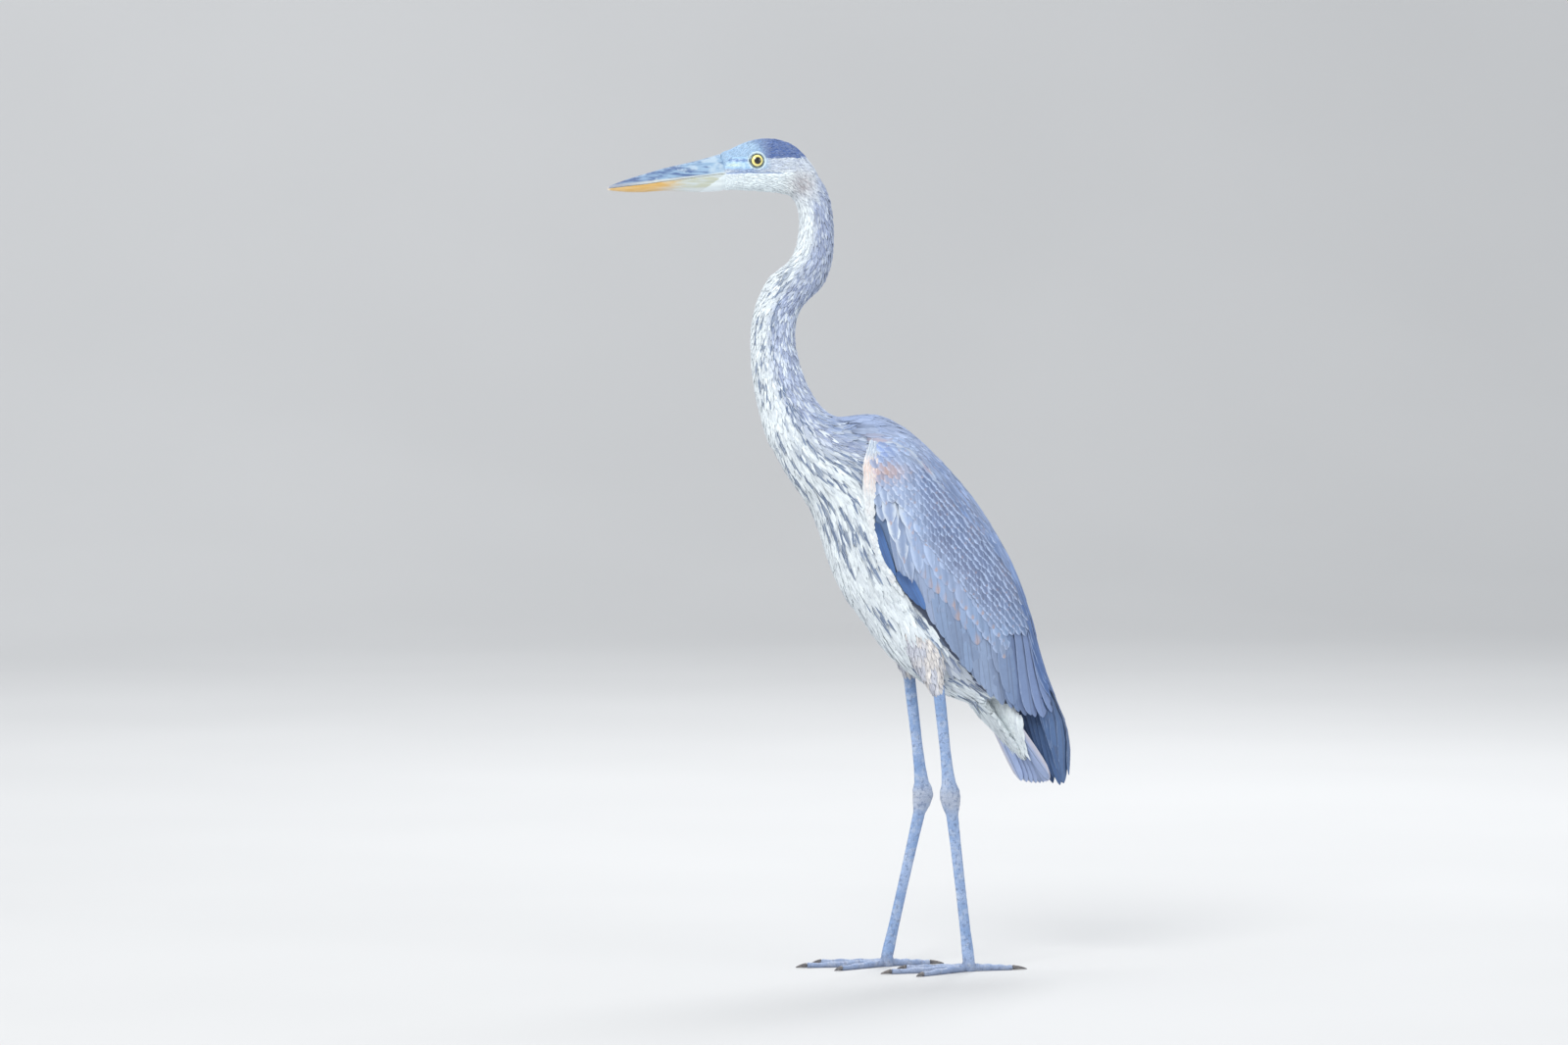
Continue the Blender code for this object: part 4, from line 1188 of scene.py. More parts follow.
# Each piece of the small coat: where it grows, its finish and its slot.
COAT_PIECES = {
    "head_feathers": ((root_z > NECK_TOP) & head_or_neck, small_feathers, "body_plumage"),
    "neck_feathers_upper": (
        (root_z <= NECK_TOP) & (root_z > NECK_MIDDLE) & head_or_neck, small_feathers, "body_plumage"),
    "neck_feathers_lower": (
        (root_z <= NECK_MIDDLE) & (root_z > NECK_FOOT) & down_to_trunk, breast_plumes, "body_plumage"),
    "breast_feathers": (
        (root_z <= NECK_FOOT) & ~thigh_roots & ~undertail_roots, breast_plumes, "body_plumage"),
    "thigh_feathers": (thigh_roots, small_feathers, "thigh_down"),
    "undertail_feathers": (undertail_roots, small_feathers, "white_down"),
}
for number, (title, (grows, finish, slot)) in enumerate(COAT_PIECES.items()):
    mine = np.flatnonzero(grows)
    spines, normals = combed(skin_tree, roots[mine], root_heading[mine], root_length[mine], TUFT)
    lifts = np.column_stack([np.full(len(mine), -0.0004), root_tip[mine]])
    vanes(title, spines, normals, TUFT, THIN, root_half[mine], lifts, colours[mine], rims[mine], finish,
          camber=0.3, thickness=0.0002, waver=0.12, seed=40 + number)

# --------------------------------------------------------------------------------------------------
# The folded wings are laid in tracts, the longest feathers first: secondaries along the lower edge, the long
# tertials behind them, then greater, median and lesser coverts like roof tiles, each over the one before.
# They lie on an even surface of the CAD wings and back, so that the outermost reach the solids' own outline.

CARRIER_GRAIN = 0.003
SCALE_BLUE = np.array((0.150, 0.215, 0.40))
WING_PALE = np.array((0.30, 0.41, 0.62))
WING_LOW = np.array((0.25, 0.36, 0.56))
TERTIAL = np.array((0.098, 0.185, 0.42))
SLATE = np.array((0.070, 0.135, 0.29))
RUST = np.array((0.58, 0.38, 0.30))
PALE_RIM = np.array((0.45, 0.56, 0.78))
CLOUDED = (0.37, 0.38, 0.47)
WRIST_PALE = (0.40, 0.51, 0.74)
SHOULDER_BLUE = (0.27, 0.37, 0.66)
ALULA_DARK = np.array((0.085, 0.18, 0.42))
WING_NODES = ["trunk", "wing_left", "wing_right", "wing_tip_left", "wing_tip_right"]

carrier = remeshed(merged(WING_NODES, SEAM_CLOSING), CARRIER_GRAIN, 6)
wing_tree = BVHTree.FromBMesh(carrier)
carrier.free()
edge_line = rows_between(WING_EDGE, 12)
edge_along = run_along(edge_line)


def on_line(share, line_shares, line):
    """The places on a line of (x, z) points at these shares of it."""
    return np.stack([np.interp(share, line_shares, line[:, axis]) for axis in range(2)], axis=-1)


def off_line(places, line):
    """How far places (x, z) are from a line's nearest points, and which points of the line these are."""
    reach = np.hypot(line[:, 0] - places[:, :1], line[:, 1] - places[:, 1:2])
    return reach.min(axis=1), reach.argmin(axis=1)


def from_edge(along, over):
    """A place so far along the wing's edge from the shoulder and so far in from it."""
    ahead = on_line(along + 0.02, edge_along, edge_line)
    behind = on_line(along - 0.02, edge_along, edge_line)
    way = unit(ahead - behind)
    inward = np.stack([-way[..., 1], way[..., 0]], axis=-1)
    return on_line(along, edge_along, edge_line) + inward * np.asarray(over)[..., None]


def beside_wing(x, z, sign):
    """The place on the wing or back straight in from the side at x, z, or None past the outline."""
    return wing_tree.ray_cast(Vector((x, sign * 0.2, z)), Vector((0.0, -sign, 0.0)))[0]


def back_leans(rows):
    """How far the line of the back leans from straight down at these rows of the lie."""
    return np.arctan2(lie_way[rows, 2], -lie_way[rows, 3])


def leans_at(places):
    """How far the wing's feathers lean back from straight down: a little in front, and behind along the line
    of the back."""
    off, rows = off_line(places, lie_back)
    near_back = np.maximum(0.0, 1.0 - off / 0.07) ** 1.3
    front_lean = np.radians(5.0 + 8.0 * np.clip((places[:, 0] - 0.06) / 0.14, 0.0, 1.0))
    return front_lean * (1 - near_back) + back_leans(rows) * near_back


ROOT_TRIES = 7
ROOT_NEARER = 0.86


def wing_feathers(tips, lengths, leans, sign):
    """Roots, headings and lengths of the feathers whose tips are at these places, seen from the side. A root
    that would miss the wing is tried again nearer to its tip."""
    rows = []
    for index, ((x, z), reach, lean) in enumerate(zip(tips, lengths, leans)):
        tip = beside_wing(x, z, sign)
        for _ in range(ROOT_TRIES):
            root = beside_wing(x - reach * math.sin(lean), z + reach * math.cos(lean), sign)
            if root is not None:
                break
            reach *= ROOT_NEARER
        if tip is not None and root is not None:
            rows.append((index, *root, math.sin(lean), 0.0, -math.cos(lean), (tip - root).length))
    rows = np.array(rows)
    return rows[:, 0].astype(int), rows[:, 1:4], rows[:, 4:7], rows[:, 7]


FREE_TIP = 0.84


def wing_tract(title, side, tips, lengths, halves, lifts, outline, colours, rims, spots=None, broad=False,
               leans=None, slot="wing_plumage", seed=1, camber=0.14, finish=None, roll=0.09, beyond=0.0):
    """One tract of wing feathers, given by its tips, combed over the wing and joined into one piece."""
    sign = SIDES[side]
    chance = np.random.default_rng(seed)
    if leans is None:
        leans = leans_at(tips)
    leans = leans + chance.normal(0, 0.025, len(tips))
    index, starts, headings, reaches = wing_feathers(tips, lengths, leans, sign)
    free = FREE_TIP if beyond else 2.0
    spines, normals = combed(
        wing_tree, starts, headings, reaches + beyond, outline, keep_heading=True, free=free,
    )
    heights = np.tile(np.array(lifts) * MM, (len(index), 1))
    heights += np.column_stack([np.zeros(len(index)), chance.uniform(-0.25, 0.25, len(index)) * MM])
    luck = chance.uniform(0.9, 1.08, (len(index), 1))
    finish = finish or (long_finish if broad else covert_finish)
    return vanes(f"{title}_{side}", spines, normals, outline, BROAD if broad else THIN, halves[index],
                 heights, colours[index] * luck, rims[index], finish,
                 camber=camber, thickness=0.0003, waver=0.03, roll=roll * sign, seed=seed,
                 spots=None if spots is None else spots[index])


def rows_of_tips(heights, step, start, end, seed):
    """Tips in rows over the wing's edge, each row set half a step from the last, with a little waver."""
    chance = np.random.default_rng(seed)
    alongs, overs = [], []
    for number, height in enumerate(heights):
        line = np.arange(start + (0.5 * step if number % 2 else 0.0), end, step)
        alongs.append(line + chance.normal(0, 0.09, len(line)) * step)
        overs.append(height + chance.normal(0, 0.08, len(line)) * step)
    return from_edge(np.concatenate(alongs) * MM, np.concatenate(overs) * MM)


def near(places, x, z, wide, high):
    """1 at x, z and falling off to nothing round it; all four are millimetres."""
    return np.exp(-(((places[:, 0] / MM - x) / wide) ** 2 + ((places[:, 1] / MM - z) / high) ** 2))


def wing_colours(tips, rim_share):
    """Feather centres and rims by their place on the wing: scales above, plain pale blue-grey below."""
    x, z = tips[:, 0], tips[:, 1]
    cloud = grain(x / 0.02, z / 0.025, 51)
    scaly = ease(off_line(tips, edge_line)[0], 0.045, 0.07)
    colours = tint(WING_PALE, WING_LOW, ease(-z, -0.43, -0.34))
    colours = tint(colours, SCALE_BLUE, scaly * ease(z, 0.36, 0.42) * (0.75 + 0.25 * cloud))
    colours = tint(colours, TERTIAL, ease(x, 0.17, 0.23) * ease(-z, -0.42, -0.36) * 0.8)
    colours = tint(colours, CLOUDED, cloud * 0.4)
    colours = tint(colours, WRIST_PALE, 0.8 * near(tips, 50, 500, 24, 40))
    colours = tint(colours, SHOULDER_BLUE, 0.9 * near(tips, 32, 586, 14, 11))
    colours = tint(colours, RUST * 1.1, 0.7 * near(tips, 32, 563, 20, 7))
    rims = tint(colours, PALE_RIM, rim_share)
    colours = colours * (1 - 0.12 * scaly)[:, None]
    rims = tint(rims, WHITE, 0.75 * near(tips, 45, 490, 20, 50))
    rims = tint(rims, RUST * 1.35, 0.6 * near(tips, 34, 560, 24, 10))
    return colours, rims


covert_finish = plumage("coverts", 0.50, 0.86, 0.10, 0.00035, 0.68)
long_finish = plumage("long_feathers", 0.84, 1.04, 0.30, 0.0004, 0.6)
SECONDARY_START, SECONDARY_END = 165.0, 415.0
SECONDARY_STEP = 10.5
GREATER_START, GREATER_END = 138.0, 300.0
GREATER_STEP = 12.5
GREATER_OVER = 28.0
MEDIAN_ROWS = (41.0, 53.0)
MARGIN_ROWS = (0.6, 3.4, 6.2, 9.0, 11.8)
SCALE_CORNER = (0.012, 0.380)
SCALE_STEP = (0.0088, 0.0047)
SCALE_ROWS, SCALE_COLUMNS = 48, 26
TERTIAL_TIPS = np.array([
    (176, 338), (188, 316), (196, 302), (203, 289), (214, 290), (226, 286.5), (233, 291), (242, 294),
    (246, 304), (249, 318), (246, 336), (240, 352), (233, 372), (226, 392),
]) * MM
# The feathers of the alula: tip (x, z), length, half width, and lean in degrees.
ALULA = np.array([
    (36, 463, 48, 3.6, 18), (39.5, 456, 55, 3.8, 18), (43.5, 448, 63, 3.4, 18), (76, 409, 40, 4.4, 23),
    (71.5, 414, 36, 4.8, 23), (66, 420, 30, 4.8, 23), (60.5, 427, 25, 4.4, 23), (56, 435, 20, 4.0, 23),
])
# The coverts over the wrist: tip (x, z), length, half width, and how rusty the tip is.
WRIST = np.array([
    (21, 540, 18, 6, 0), (23, 526, 20, 6.5, 0), (27, 511, 23, 6.5, 0.2), (60, 440, 62, 7, 0.2),
    (52, 463, 56, 8, 0.9), (71, 452, 54, 8.5, 0.2), (86, 458, 50, 8.5, 0), (43, 486, 46, 8, 0.5),
    (65, 478, 46, 9, 0.2), (82, 482, 42, 9, 0.9), (32, 530, 32, 7, 0.7), (37, 507, 36, 8.5, 1),
    (58, 502, 38, 9, 0.8), (74, 507, 36, 8.5, 0.3), (50, 533, 32, 8, 0.6),
])
for side, sign in SIDES.items():
    odd = int(sign > 0)
    chance = np.random.default_rng(60 + odd)
    # Secondaries, with tips along the lower edge, and the tertials behind them.
    alongs = np.arange(SECONDARY_START, SECONDARY_END, SECONDARY_STEP)
    wavering = (alongs + chance.normal(0, 1.2, len(alongs))) * MM
    tips = from_edge(wavering, chance.uniform(0.001, 0.0045, len(alongs)))
    lengths = np.interp(alongs, (165, 230, 330, 415), (90, 140, 165, 170)) * MM
    halves = np.interp(alongs, (165, 230), (7.0, 8.0)) * MM
    wing_tract("secondaries", side, tips, lengths, halves, (-3.3, -2.9), LONG, *wing_colours(tips, 0.3),
               broad=True, seed=70 + odd, beyond=0.006, camber=0.07, roll=0.06)
    tips = TERTIAL_TIPS
    lengths = np.interp(tips[:, 1], (0.286, 0.4), (0.165, 0.085))
    leans = np.radians(np.interp(tips[:, 0], (0.17, 0.25), (9.0, 13.5)))
    wing_tract("tertials", side, tips, lengths, np.full(len(tips), 0.0115), (-3.1, -1.9), LONG,
               *wing_colours(tips, 0.45), broad=True, seed=74 + odd, beyond=0.002, camber=0.07, roll=0.08,
               leans=leans)
    # The alula, a narrow dark stripe behind the white front edge, and the dark primary coverts below it.
    dark = np.tile(ALULA_DARK, (len(ALULA), 1))
    wing_tract("alula", side, ALULA[:, :2] * MM, ALULA[:, 2] * MM, ALULA[:, 3] * MM, (-1.6, -0.9), QUILL,
               dark, tint(dark, WING, 0.25), broad=True, seed=78 + odd, leans=np.radians(ALULA[:, 4]),
               slot="flight_feathers")
    # Greater coverts, most with a rusty tip.
    alongs = np.arange(GREATER_START, GREATER_END, GREATER_STEP)
    wavering = (alongs + chance.normal(0, 1.5, len(alongs))) * MM
    tips = from_edge(wavering, (GREATER_OVER + chance.normal(0, 1.2, len(alongs))) * MM)
    lengths = np.interp(alongs, (138, 200, 300), (44, 85, 95)) * MM
    rusty = chance.uniform(0.25, 1.0, len(tips)) * (alongs > 170)
    wing_tract("greater_coverts", side, tips, lengths, np.full(len(tips), 9.0 * MM), (-3.2, -2.0), LONG,
               *wing_colours(tips, 0.35), spots=rusty, broad=True, seed=80 + odd, camber=0.08, roll=0.065)
    # Median coverts: two rows, a few with a rusty tip, and the longer pointed ones over the wrist.
    tips = rows_of_tips(MEDIAN_ROWS, 11.5, 96.0, 330.0, 82 + odd)
    lengths = chance.uniform(32, 40, len(tips)) * MM
    rusty = chance.uniform(0, 1, len(tips)) ** 1.6
    wing_tract("median_coverts", side, tips, lengths, np.full(len(tips), 7.4 * MM), (-3.0, -1.3), SCALE,
               *wing_colours(tips, 0.8), roll=0.07, spots=rusty, seed=84 + odd)
    tips = WRIST[:, :2] * MM
    wing_tract("wrist_coverts", side, tips, WRIST[:, 2] * MM, WRIST[:, 3] * MM, (-2.7, -0.9), POINTED,
               *wing_colours(tips, 0.9), camber=0.1, roll=0.05, spots=WRIST[:, 4], seed=86 + odd)
    # Lesser coverts, small round scales in close rows up to the scapulars.
    rows, columns = np.mgrid[0:SCALE_ROWS, 0:SCALE_COLUMNS]
    tips = np.column_stack([
        SCALE_CORNER[0] + SCALE_STEP[0] * (columns + 0.5 * (rows % 2)).ravel(),
        SCALE_CORNER[1] + SCALE_STEP[1] * rows.ravel(),
    ])
    tips += chance.normal(0, 0.0006, tips.shape)
    off_edge, off_back = off_line(tips, edge_line)[0], off_line(tips, lie_back)[0]
    right_of_edge = tips[:, 0] > np.interp(tips[:, 1], edge_line[::-1, 1], edge_line[::-1, 0])
    least = np.interp(tips[:, 1], (0.40, 0.50, 0.54, 0.56), (0.057, 0.047, 0.021, 0.0125))
    tips = tips[(off_back > 0.012) & (tips[:, 1] > 0.375) & (off_edge > least) & right_of_edge]
    lengths = chance.uniform(17, 22, len(tips)) * MM
    halves = chance.uniform(5.2, 6.2, len(tips)) * MM
    rusty = 0.5 * chance.uniform(0, 1, len(tips)) ** 4
    wing_tract("lesser_coverts", side, tips, lengths, halves, (-2.5, -0.3), SCALE, *wing_colours(tips, 1.0),
               roll=0.07, spots=rusty, seed=90 + odd)
    # The front edge: short white and buff feathers that lap round it.
    tips = rows_of_tips(MARGIN_ROWS, 4.4, 4.0, 190.0, 92 + odd)
    most = np.interp(tips[:, 1], (0.41, 0.44, 0.455, 0.50, 0.52, 0.56),
                     (0.001, 0.0030, 0.0050, 0.0042, 0.0075, 0.0125))
    tips = tips[off_line(tips, edge_line)[0] < most]
    buff = grain(tips[:, 0] / 0.008, tips[:, 1] / 0.008, 61)
    colours = tint(WHITE, RUST * 1.5, 0.5 * ease(tips[:, 1], 0.525, 0.56) + 0.2 * buff**2)
    colours = tint(colours, FOREHEAD * 0.8, 0.75 * ease(tips[:, 1], 0.57, 0.588))
    lengths = chance.uniform(9, 12, len(tips)) * MM
    halves = chance.uniform(2.3, 3.0, len(tips)) * MM
    leans = np.interp(tips[:, 1], (0.43, 0.46, 0.50, 0.54, 0.57, 0.60), (42.0, 30.0, 16.0, 8.0, -4.0, -14.0))
    wing_tract("wing_margin", side, tips, lengths, halves, (-1.8, -0.6), TUFT, colours,
               tint(colours, WHITE, 0.6), seed=94 + odd, leans=np.radians(leans))

# --------------------------------------------------------------------------------------------------
# The scapulars, long soft feathers that drape from the mantle down the back and lap over the folded wings.
# The upper ones end in a ragged pale fringe over the scaly coverts.

# Where the scapulars end over the wing (x, z), from the shoulder down to the tail.
SCAPULAR_LINE = np.array([
    (28, 606), (49, 594), (67, 578), (80, 565), (92, 556), (102, 545), (122, 522), (142, 500), (162, 484),
    (184, 455), (204, 415), (219, 375), (230, 335), (240, 306),
], float) * MM
SCAPULAR_STEP = 0.0135
SCAPULAR_ROW = 0.0064
SCAPULAR_BLUE = np.array((0.20, 0.30, 0.54))
SOFT_GREY = (0.40, 0.46, 0.60)

scapular_finish = plumage("scapulars", 0.6, 1.0, 0.2, 0.0004, 0.72)
line_shares = np.linspace(0, 1, len(SCAPULAR_LINE))
borders = on_line(np.arange(0.0, 1.0, SCAPULAR_STEP), line_shares, SCAPULAR_LINE)
for side, sign in SIDES.items():
    odd = int(sign > 0)
    chance = np.random.default_rng(100 + odd)
    tips, overs = [], []
    for border, crest in zip(borders, lie_back[off_line(borders, lie_back)[1]]):
        depth = np.linalg.norm(crest - border)
        for over in np.arange(0.0, depth, SCAPULAR_ROW):
            tips.append(border + (crest - border) * (over / depth) + chance.normal(0, 0.0012, 2))
            overs.append(over)
    lowest_first = np.argsort(overs)
    tips, overs = np.array(tips)[lowest_first], np.array(overs)[lowest_first]
    leans = leans_at(tips) * 0.35 + back_leans(off_line(tips, lie_back)[1]) * 0.65
    x, z = tips.T
    lengths = np.interp(z, (0.30, 0.45, 0.55, 0.60), (0.055, 0.046, 0.036, 0.024))
    lengths = lengths * chance.uniform(0.85, 1.15, len(tips))
    halves = np.interp(z, (0.30, 0.50, 0.60), (0.0062, 0.0056, 0.0044))
    cloud = grain(x / 0.012, z / 0.012, 63)
    colours = tint(SCAPULAR_BLUE, MANTLE, ease(z, 0.54, 0.60))
    colours = tint(colours, TERTIAL, ease(-z, -0.46, -0.36) * 0.9)
    colours = tint(colours, SOFT_GREY, 0.55 * cloud * ease(z, 0.40, 0.5))
    colours = colours * chance.uniform(0.8, 1.15, (len(tips), 1))
    fringe = ease(overs, 0.009, 0.002) * ease(z, 0.535, 0.55)
    pale = tint(WHITE, RUST * 1.3, ease(cloud, 0.66, 0.8))
    colours = tint(colours, pale, 0.62 * fringe * chance.uniform(0.2, 1.0, len(tips)))
    wing_tract("scapulars", side, tips, lengths, halves, (-1.9, -0.2), POINTED, colours,
               tint(colours, PALE_RIM, 0.55), leans=leans, roll=0.0,
               spots=0.6 * (near(tips, 150, 494, 10, 7) > 0.6), seed=104 + odd, finish=scapular_finish)

# The mantle closes the middle of the back: rows of soft feathers from the foot of the neck to the tail, laid
# over the hollow between the folded wings. The hollow is measured with rays and filled to an even surface.
MANTLE_STEP = 0.003
MANTLE_HALF_WIDTH = 0.038
MANTLE_HOLLOW = 0.0035
MANTLE_COLUMNS = 19
MANTLE_ROW = 0.0085
MANTLE_SPACING = 0.0075
MANTLE_HALF = 0.0056
MANTLE_LIFTS = (-0.0022, -0.0002)
RAY_HEIGHT = 0.04

back_x, back_z = lie_back.T
ridge_rows = lie_back[(back_z < 0.641) & (back_z > 0.275) & (back_x > -0.024)]
ridge_run = run_along(ridge_rows)
stations = np.arange(0.0, ridge_run[-1], MANTLE_STEP)
ridge = on_line(stations, ridge_run, ridge_rows)
ridge_way = unit(np.gradient(ridge, axis=0))
ridge_out = np.stack([-ridge_way[:, 1], ridge_way[:, 0]], axis=-1)
overs = np.linspace(-MANTLE_HALF_WIDTH, MANTLE_HALF_WIDTH, MANTLE_COLUMNS)
depths = np.full((len(stations), len(overs)), -0.03)
for i, (place, out) in enumerate(zip(ridge, ridge_out)):
    for j, over in enumerate(overs):
        start = Vector((place[0] + RAY_HEIGHT * out[0], over, place[1] + RAY_HEIGHT * out[1]))
        for tree in [wing_tree] + flesh_trees["neck"]:
            met = tree.ray_cast(start, Vector((-out[0], 0.0, -out[1])), 2 * RAY_HEIGHT)
            if met[0] is not None:
                depths[i, j] = max(depths[i, j], RAY_HEIGHT - met[3])
filled = depths.max(axis=1) - MANTLE_HOLLOW
depths = np.where(np.abs(overs) < 0.012, np.maximum(depths, filled[:, None]), depths)
for _ in range(6):
    ahead_and_behind = depths[:-2, 1:-1] + depths[2:, 1:-1]
    depths[1:-1, 1:-1] = (
        ahead_and_behind + depths[1:-1, :-2] + depths[1:-1, 2:] + 2 * depths[1:-1, 1:-1]
    ) / 6


def on_mantle(run, over):
    """The place on the filled back so far down it and so far to the side, and which way is out there."""
    row = np.clip(run / MANTLE_STEP, 0, len(stations) - 1.001)
    column = np.clip((over + MANTLE_HALF_WIDTH) / (overs[1] - overs[0]), 0, len(overs) - 1.001)
    i, j = int(row), int(column)
    f, g = row - i, column - j
    depth = ((depths[i, j] * (1 - g) + depths[i, j + 1] * g) * (1 - f)
             + (depths[i + 1, j] * (1 - g) + depths[i + 1, j + 1] * g) * f)
    place, out = ridge[i] * (1 - f) + ridge[i + 1] * f, ridge_out[i]
    return (place[0] + out[0] * depth, over, place[1] + out[1] * depth), (out[0], 0.0, out[1])


chance = np.random.default_rng(120)
starts = []
for number, run in enumerate(np.arange(0.0, stations[-1] - 0.030, MANTLE_ROW)):
    wide = np.interp(run, (0.0, 0.03, 0.09, 0.27, 0.39), (0.012, 0.024, 0.0345, 0.030, 0.0225))
    shift = MANTLE_SPACING / 2 if number % 2 else 0.0
    for over in np.arange(-wide, wide + 0.001, MANTLE_SPACING) + shift:
        where = (run + chance.normal(0, 0.0012), over + chance.normal(0, 0.0008))
        starts.append((*where, chance.uniform(0.028, 0.038)))
starts = np.array(starts)
found = [
    [on_mantle(run + long * share, over * (1 - 0.1 * share)) for share, _ in POINTED]
    for run, over, long in starts
]
mantle_spines = np.array([[place for place, _ in row] for row in found])
outward = np.array([[out for _, out in row] for row in found])
mantle_normals = unit(outward + np.outer(starts[:, 1] * 9.0, (0.0, 1.0, 0.0))[:, None, :])
z = mantle_spines[:, 0, 2]
colours = tint(MANTLE, SCAPULAR_BLUE, ease(-z, -0.60, -0.54))
colours = tint(colours, TERTIAL, ease(-z, -0.46, -0.36) * 0.9)
colours = colours * chance.uniform(0.85, 1.15, (len(starts), 1))
vanes("mantle_feathers", mantle_spines, mantle_normals, POINTED, THIN, np.full(len(starts), MANTLE_HALF),
      np.tile(MANTLE_LIFTS, (len(starts), 1)), colours, tint(colours, PALE_RIM, 0.5), scapular_finish,
      camber=0.12, seed=121)

# --------------------------------------------------------------------------------------------------
# The primaries are the dark flight feathers whose ends show past the tertials. They stand in for the solid
# wing tips, the outermost last, and each leans a little less than the one before it.

# The outer ones: tip (x, z) in millimetres and lean in degrees. The hidden inner ones: tip (x, y, z) in
# metres and lean in radians.
PRIMARY_TIPS = np.array([
    (238, 262, 15), (243, 248, 15), (248, 235, 15), (253, 223, 14), (258, 214, 13), (262, 216, 12),
    (265, 224, 11), (267, 234, 10), (267.5, 246, 9.5), (267, 259, 9),
])
INNER_PRIMARIES = (
    (0.214, 0.004, 0.268, 0.42), (0.2205, 0.005, 0.258, 0.42), (0.227, 0.006, 0.249, 0.40),
    (0.233, 0.008, 0.244, 0.36), (0.237, 0.010, 0.237, 0.31), (0.242, 0.011, 0.230, 0.28),
    (0.249, 0.012, 0.215, 0.25), (0.256, 0.013, 0.206, 0.24),
)
PRIMARY_LENGTH = 0.105
PRIMARY_HALF = 0.0068
OUTER_HALF = 0.0080
PRIMARY_BEYOND = (0.001, 0.011, 0.004)
PRIMARY_LIFTS = (-0.0036, -0.0020)
PRIMARY_STACK = 0.0012
ROOTS_APART = 0.014

primary_finish = plumage("primaries", 0.86, 1.04, 0.5, 0.0004, 0.5)
for side, sign in SIDES.items():
    chance = np.random.default_rng(150 + (sign > 0))
    tips, leans = PRIMARY_TIPS[:, :2] * MM, np.radians(PRIMARY_TIPS[:, 2])
    lengths = np.full(len(tips), PRIMARY_LENGTH)
    index, starts, headings, reaches = wing_feathers(tips, lengths, leans, sign)
    reaches = reaches + np.interp(index, (0, 5, 9), PRIMARY_BEYOND)
    spines, normals = combed(
        wing_tree, starts, headings, reaches, QUILL, keep_heading=True, free=FREE_TIP,
    )
    hidden = np.array([[
        (x - PRIMARY_LENGTH * (1 - share) * math.sin(lean), sign * (y + ROOTS_APART * (1 - share)),
         z + PRIMARY_LENGTH * (1 - share) * math.cos(lean)) for share, _ in QUILL
    ] for x, y, z, lean in INNER_PRIMARIES])
    count = len(hidden) + len(index)
    halves = np.interp(np.arange(count), (count - 5, count - 2), (PRIMARY_HALF, OUTER_HALF))
    spines = np.concatenate([hidden, spines])
    sideways = np.tile((0.0, sign, 0.0), (len(hidden), len(QUILL), 1))
    normals = np.concatenate([sideways, normals])
    stack = np.linspace(0.0, PRIMARY_STACK, len(index))
    steps = np.concatenate([np.full(len(hidden), -PRIMARY_LIFTS[1]), stack])
    lifts = steps[:, None] + PRIMARY_LIFTS
    lit = np.concatenate([np.zeros(len(hidden)), np.linspace(0, 1, len(index))])
    colours = tint(SLATE, WING, 0.35 * lit)
    rims = tint(colours, PALE_RIM, 0.15 + 0.55 * lit)
    vanes("primaries_" + side, spines, normals, QUILL, BROAD, halves, lifts, colours, rims, primary_finish,
          camber=0.14, thickness=0.0004, waver=0.02, roll=0.09 * sign,
          seed=160 + (sign > 0), replaced=["wing_tip_" + side])

# --------------------------------------------------------------------------------------------------
# The tail is twelve broad quills fanned from under the coverts and rolled a little toward the left, so that
# its underside shows there. Each quill has a pale inner web. White undertail coverts lie over their roots.

TAIL_ROOT = np.array((0.1703, 0.0, 0.3056))
TAIL_UNDER = np.array((-0.813, 0.0, -0.582))
TAIL_ROLL = math.radians(20.0)
TAIL_SPREAD = 0.030
TAIL_QUILLS = 12
QUILL_LENGTH = 0.121
QUILL_HALF = 0.0105
ROOT_SHIFT = 0.007
BUNDLE_SWELL = 0.0085
QUILL_BLUE = np.array((0.34, 0.43, 0.66))
INNER_WEB = np.array((0.62, 0.60, 0.66))

tail_out = np.array((0.0, math.cos(TAIL_ROLL), 0.0)) + TAIL_UNDER * math.sin(TAIL_ROLL)
tail_face = unit(TAIL_UNDER * math.cos(TAIL_ROLL) - np.array((0.0, math.sin(TAIL_ROLL), 0.0)))


def by_tail(share, over, under):
    """A place by the rolled fan: so far from root to tip, so far across it from the left edge (-1) to the
    right (1), and so far out from its underside."""
    fan = over * TAIL_SPREAD * (0.35 + 0.65 * share)
    along = TAIL_ROOT + TAIL_LIE * QUILL_LENGTH * share
    return along + tail_out * fan + tail_face * under - TAIL_UNDER * ROOT_SHIFT * (1 - share)


def on_tail(share, over, lift):
    """A place on the fan, which sags toward its edges."""
    return by_tail(share, over, 0.006 * over**2 * (0.3 + 0.7 * share) + lift)


quill_over = np.linspace(-1, 1, TAIL_QUILLS)
quill_spines = np.array([
    [on_tail(share * (1 - 0.10 * over**2), over, 0.0004 + 0.0032 * abs(over) - 0.003) for share, _ in LONG]
    for over in quill_over
])
quill_normals = np.tile(tail_face, (TAIL_QUILLS, len(LONG), 1))
chance = np.random.default_rng(170)
colours = QUILL_BLUE * chance.uniform(0.85, 1.15, (TAIL_QUILLS, 1))
tail_finish = plumage("tail", 0.35, 0.75, 0.5, 0.0004, 0.5)
tail = vanes("tail_feathers", quill_spines, quill_normals, LONG, BROAD, np.full(TAIL_QUILLS, QUILL_HALF),
             np.zeros((TAIL_QUILLS, 2)), colours, colours, tail_finish, camber=0.12,
             thickness=0.0004, waver=0.02, seed=171, replaced=["tail"])
stored = np.empty(len(tail.data.vertices) * 3, np.float32)
tail.data.attributes["vane"].data.foreach_get("vector", stored)
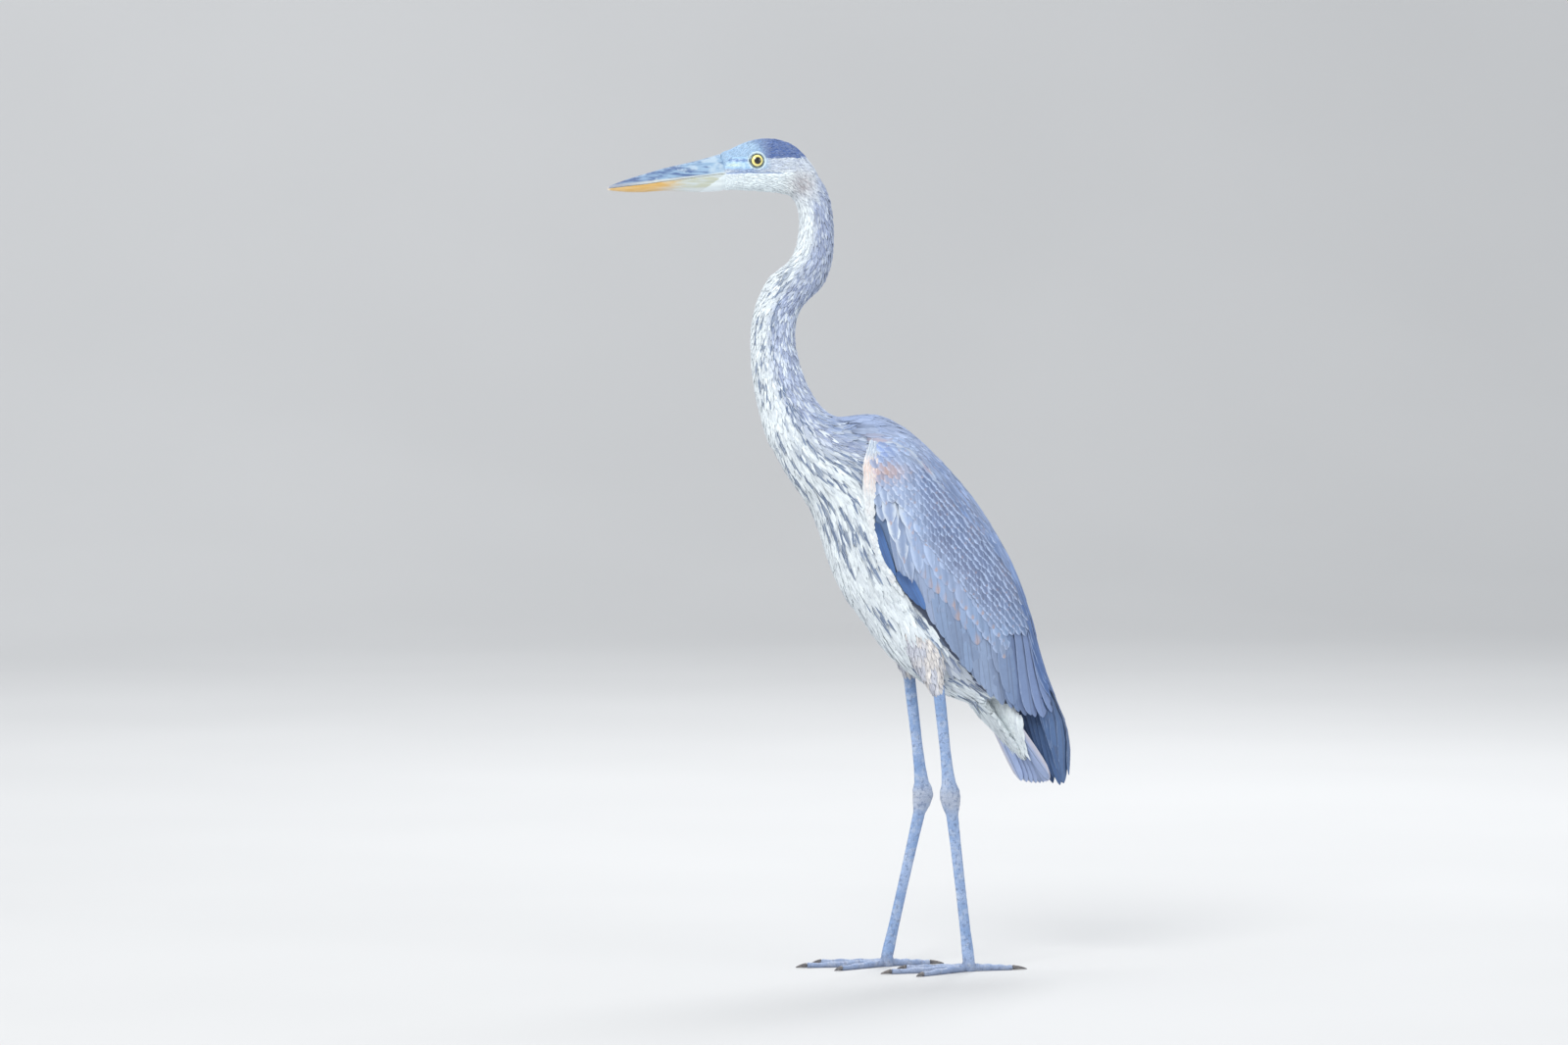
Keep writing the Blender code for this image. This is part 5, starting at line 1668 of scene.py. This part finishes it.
per_quill = len(tail.data.vertices) // TAIL_QUILLS
across_quill = stored.reshape(-1, 3)[:, 1]
inner = across_quill * np.repeat(np.where(quill_over < 0, -1.0, 1.0), per_quill)
rims = tint(np.repeat(colours, per_quill, axis=0), INNER_WEB, 0.9 * ease(-inner, -0.1, 0.8))
rims = np.column_stack([rims, np.ones(len(rims))])
tail.data.attributes["rim"].data.foreach_set("color", rims.astype(np.float32).ravel())

chance = np.random.default_rng(180)
starts = np.array([
    (share, over) for share in np.arange(-0.24, 0.30, 0.035) for over in np.arange(-2.1, 1.3, 0.13)
])
starts += chance.normal(0, 1, starts.shape) * (0.014, 0.05)
reach = np.clip(0.40 - 0.11 * np.abs(starts[:, 1] + 0.3) ** 1.6, 0.12, 0.5)
reach = reach * chance.uniform(0.75, 1.15, len(starts))
swing = chance.normal(0, 0.08, len(starts))


def on_bundle(share, over, lift):
    """A place on the rounded bundle of undertail coverts, in the same terms as on the fan."""
    return by_tail(share, over, BUNDLE_SWELL * (1 - (over / 2.1) ** 2) * (1 - 0.5 * max(share, 0.0)) + lift)


covert_spines = np.array([
    [
        on_bundle(start + long * share, over * (1 - 0.35 * share) + turn * share, 0.001 + 0.002 * share**2)
        for share, _ in POINTED
    ]
    for (start, over), long, turn in zip(starts, reach, swing)
])
spreading = tail_face + np.outer(0.55 * starts[:, 1], (0.0, 1.0, 0.0))
covert_normals = unit(spreading + chance.normal(0, 0.16, (len(starts), 3)))
covert_normals = np.repeat(covert_normals[:, None, :], len(POINTED), axis=1)
colours = tint(WHITE, UNDERTAIL, chance.uniform(0, 0.7, len(starts)))
halves = chance.uniform(0.0024, 0.0036, len(starts))
vanes("tail_coverts", covert_spines, covert_normals, POINTED, THIN, halves,
      np.tile((0.0, 0.0006), (len(starts), 1)), colours, tint(colours, WHITE, 0.5), small_feathers,
      camber=0.3, seed=181)

# --------------------------------------------------------------------------------------------------
# The sizes of the solids and of the finished model are gathered in size.

visual_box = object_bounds()
size = {
    "cad_box": [list(corner) for corner in cad_box],
    "visual_box": [list(corner) for corner in visual_box],
}
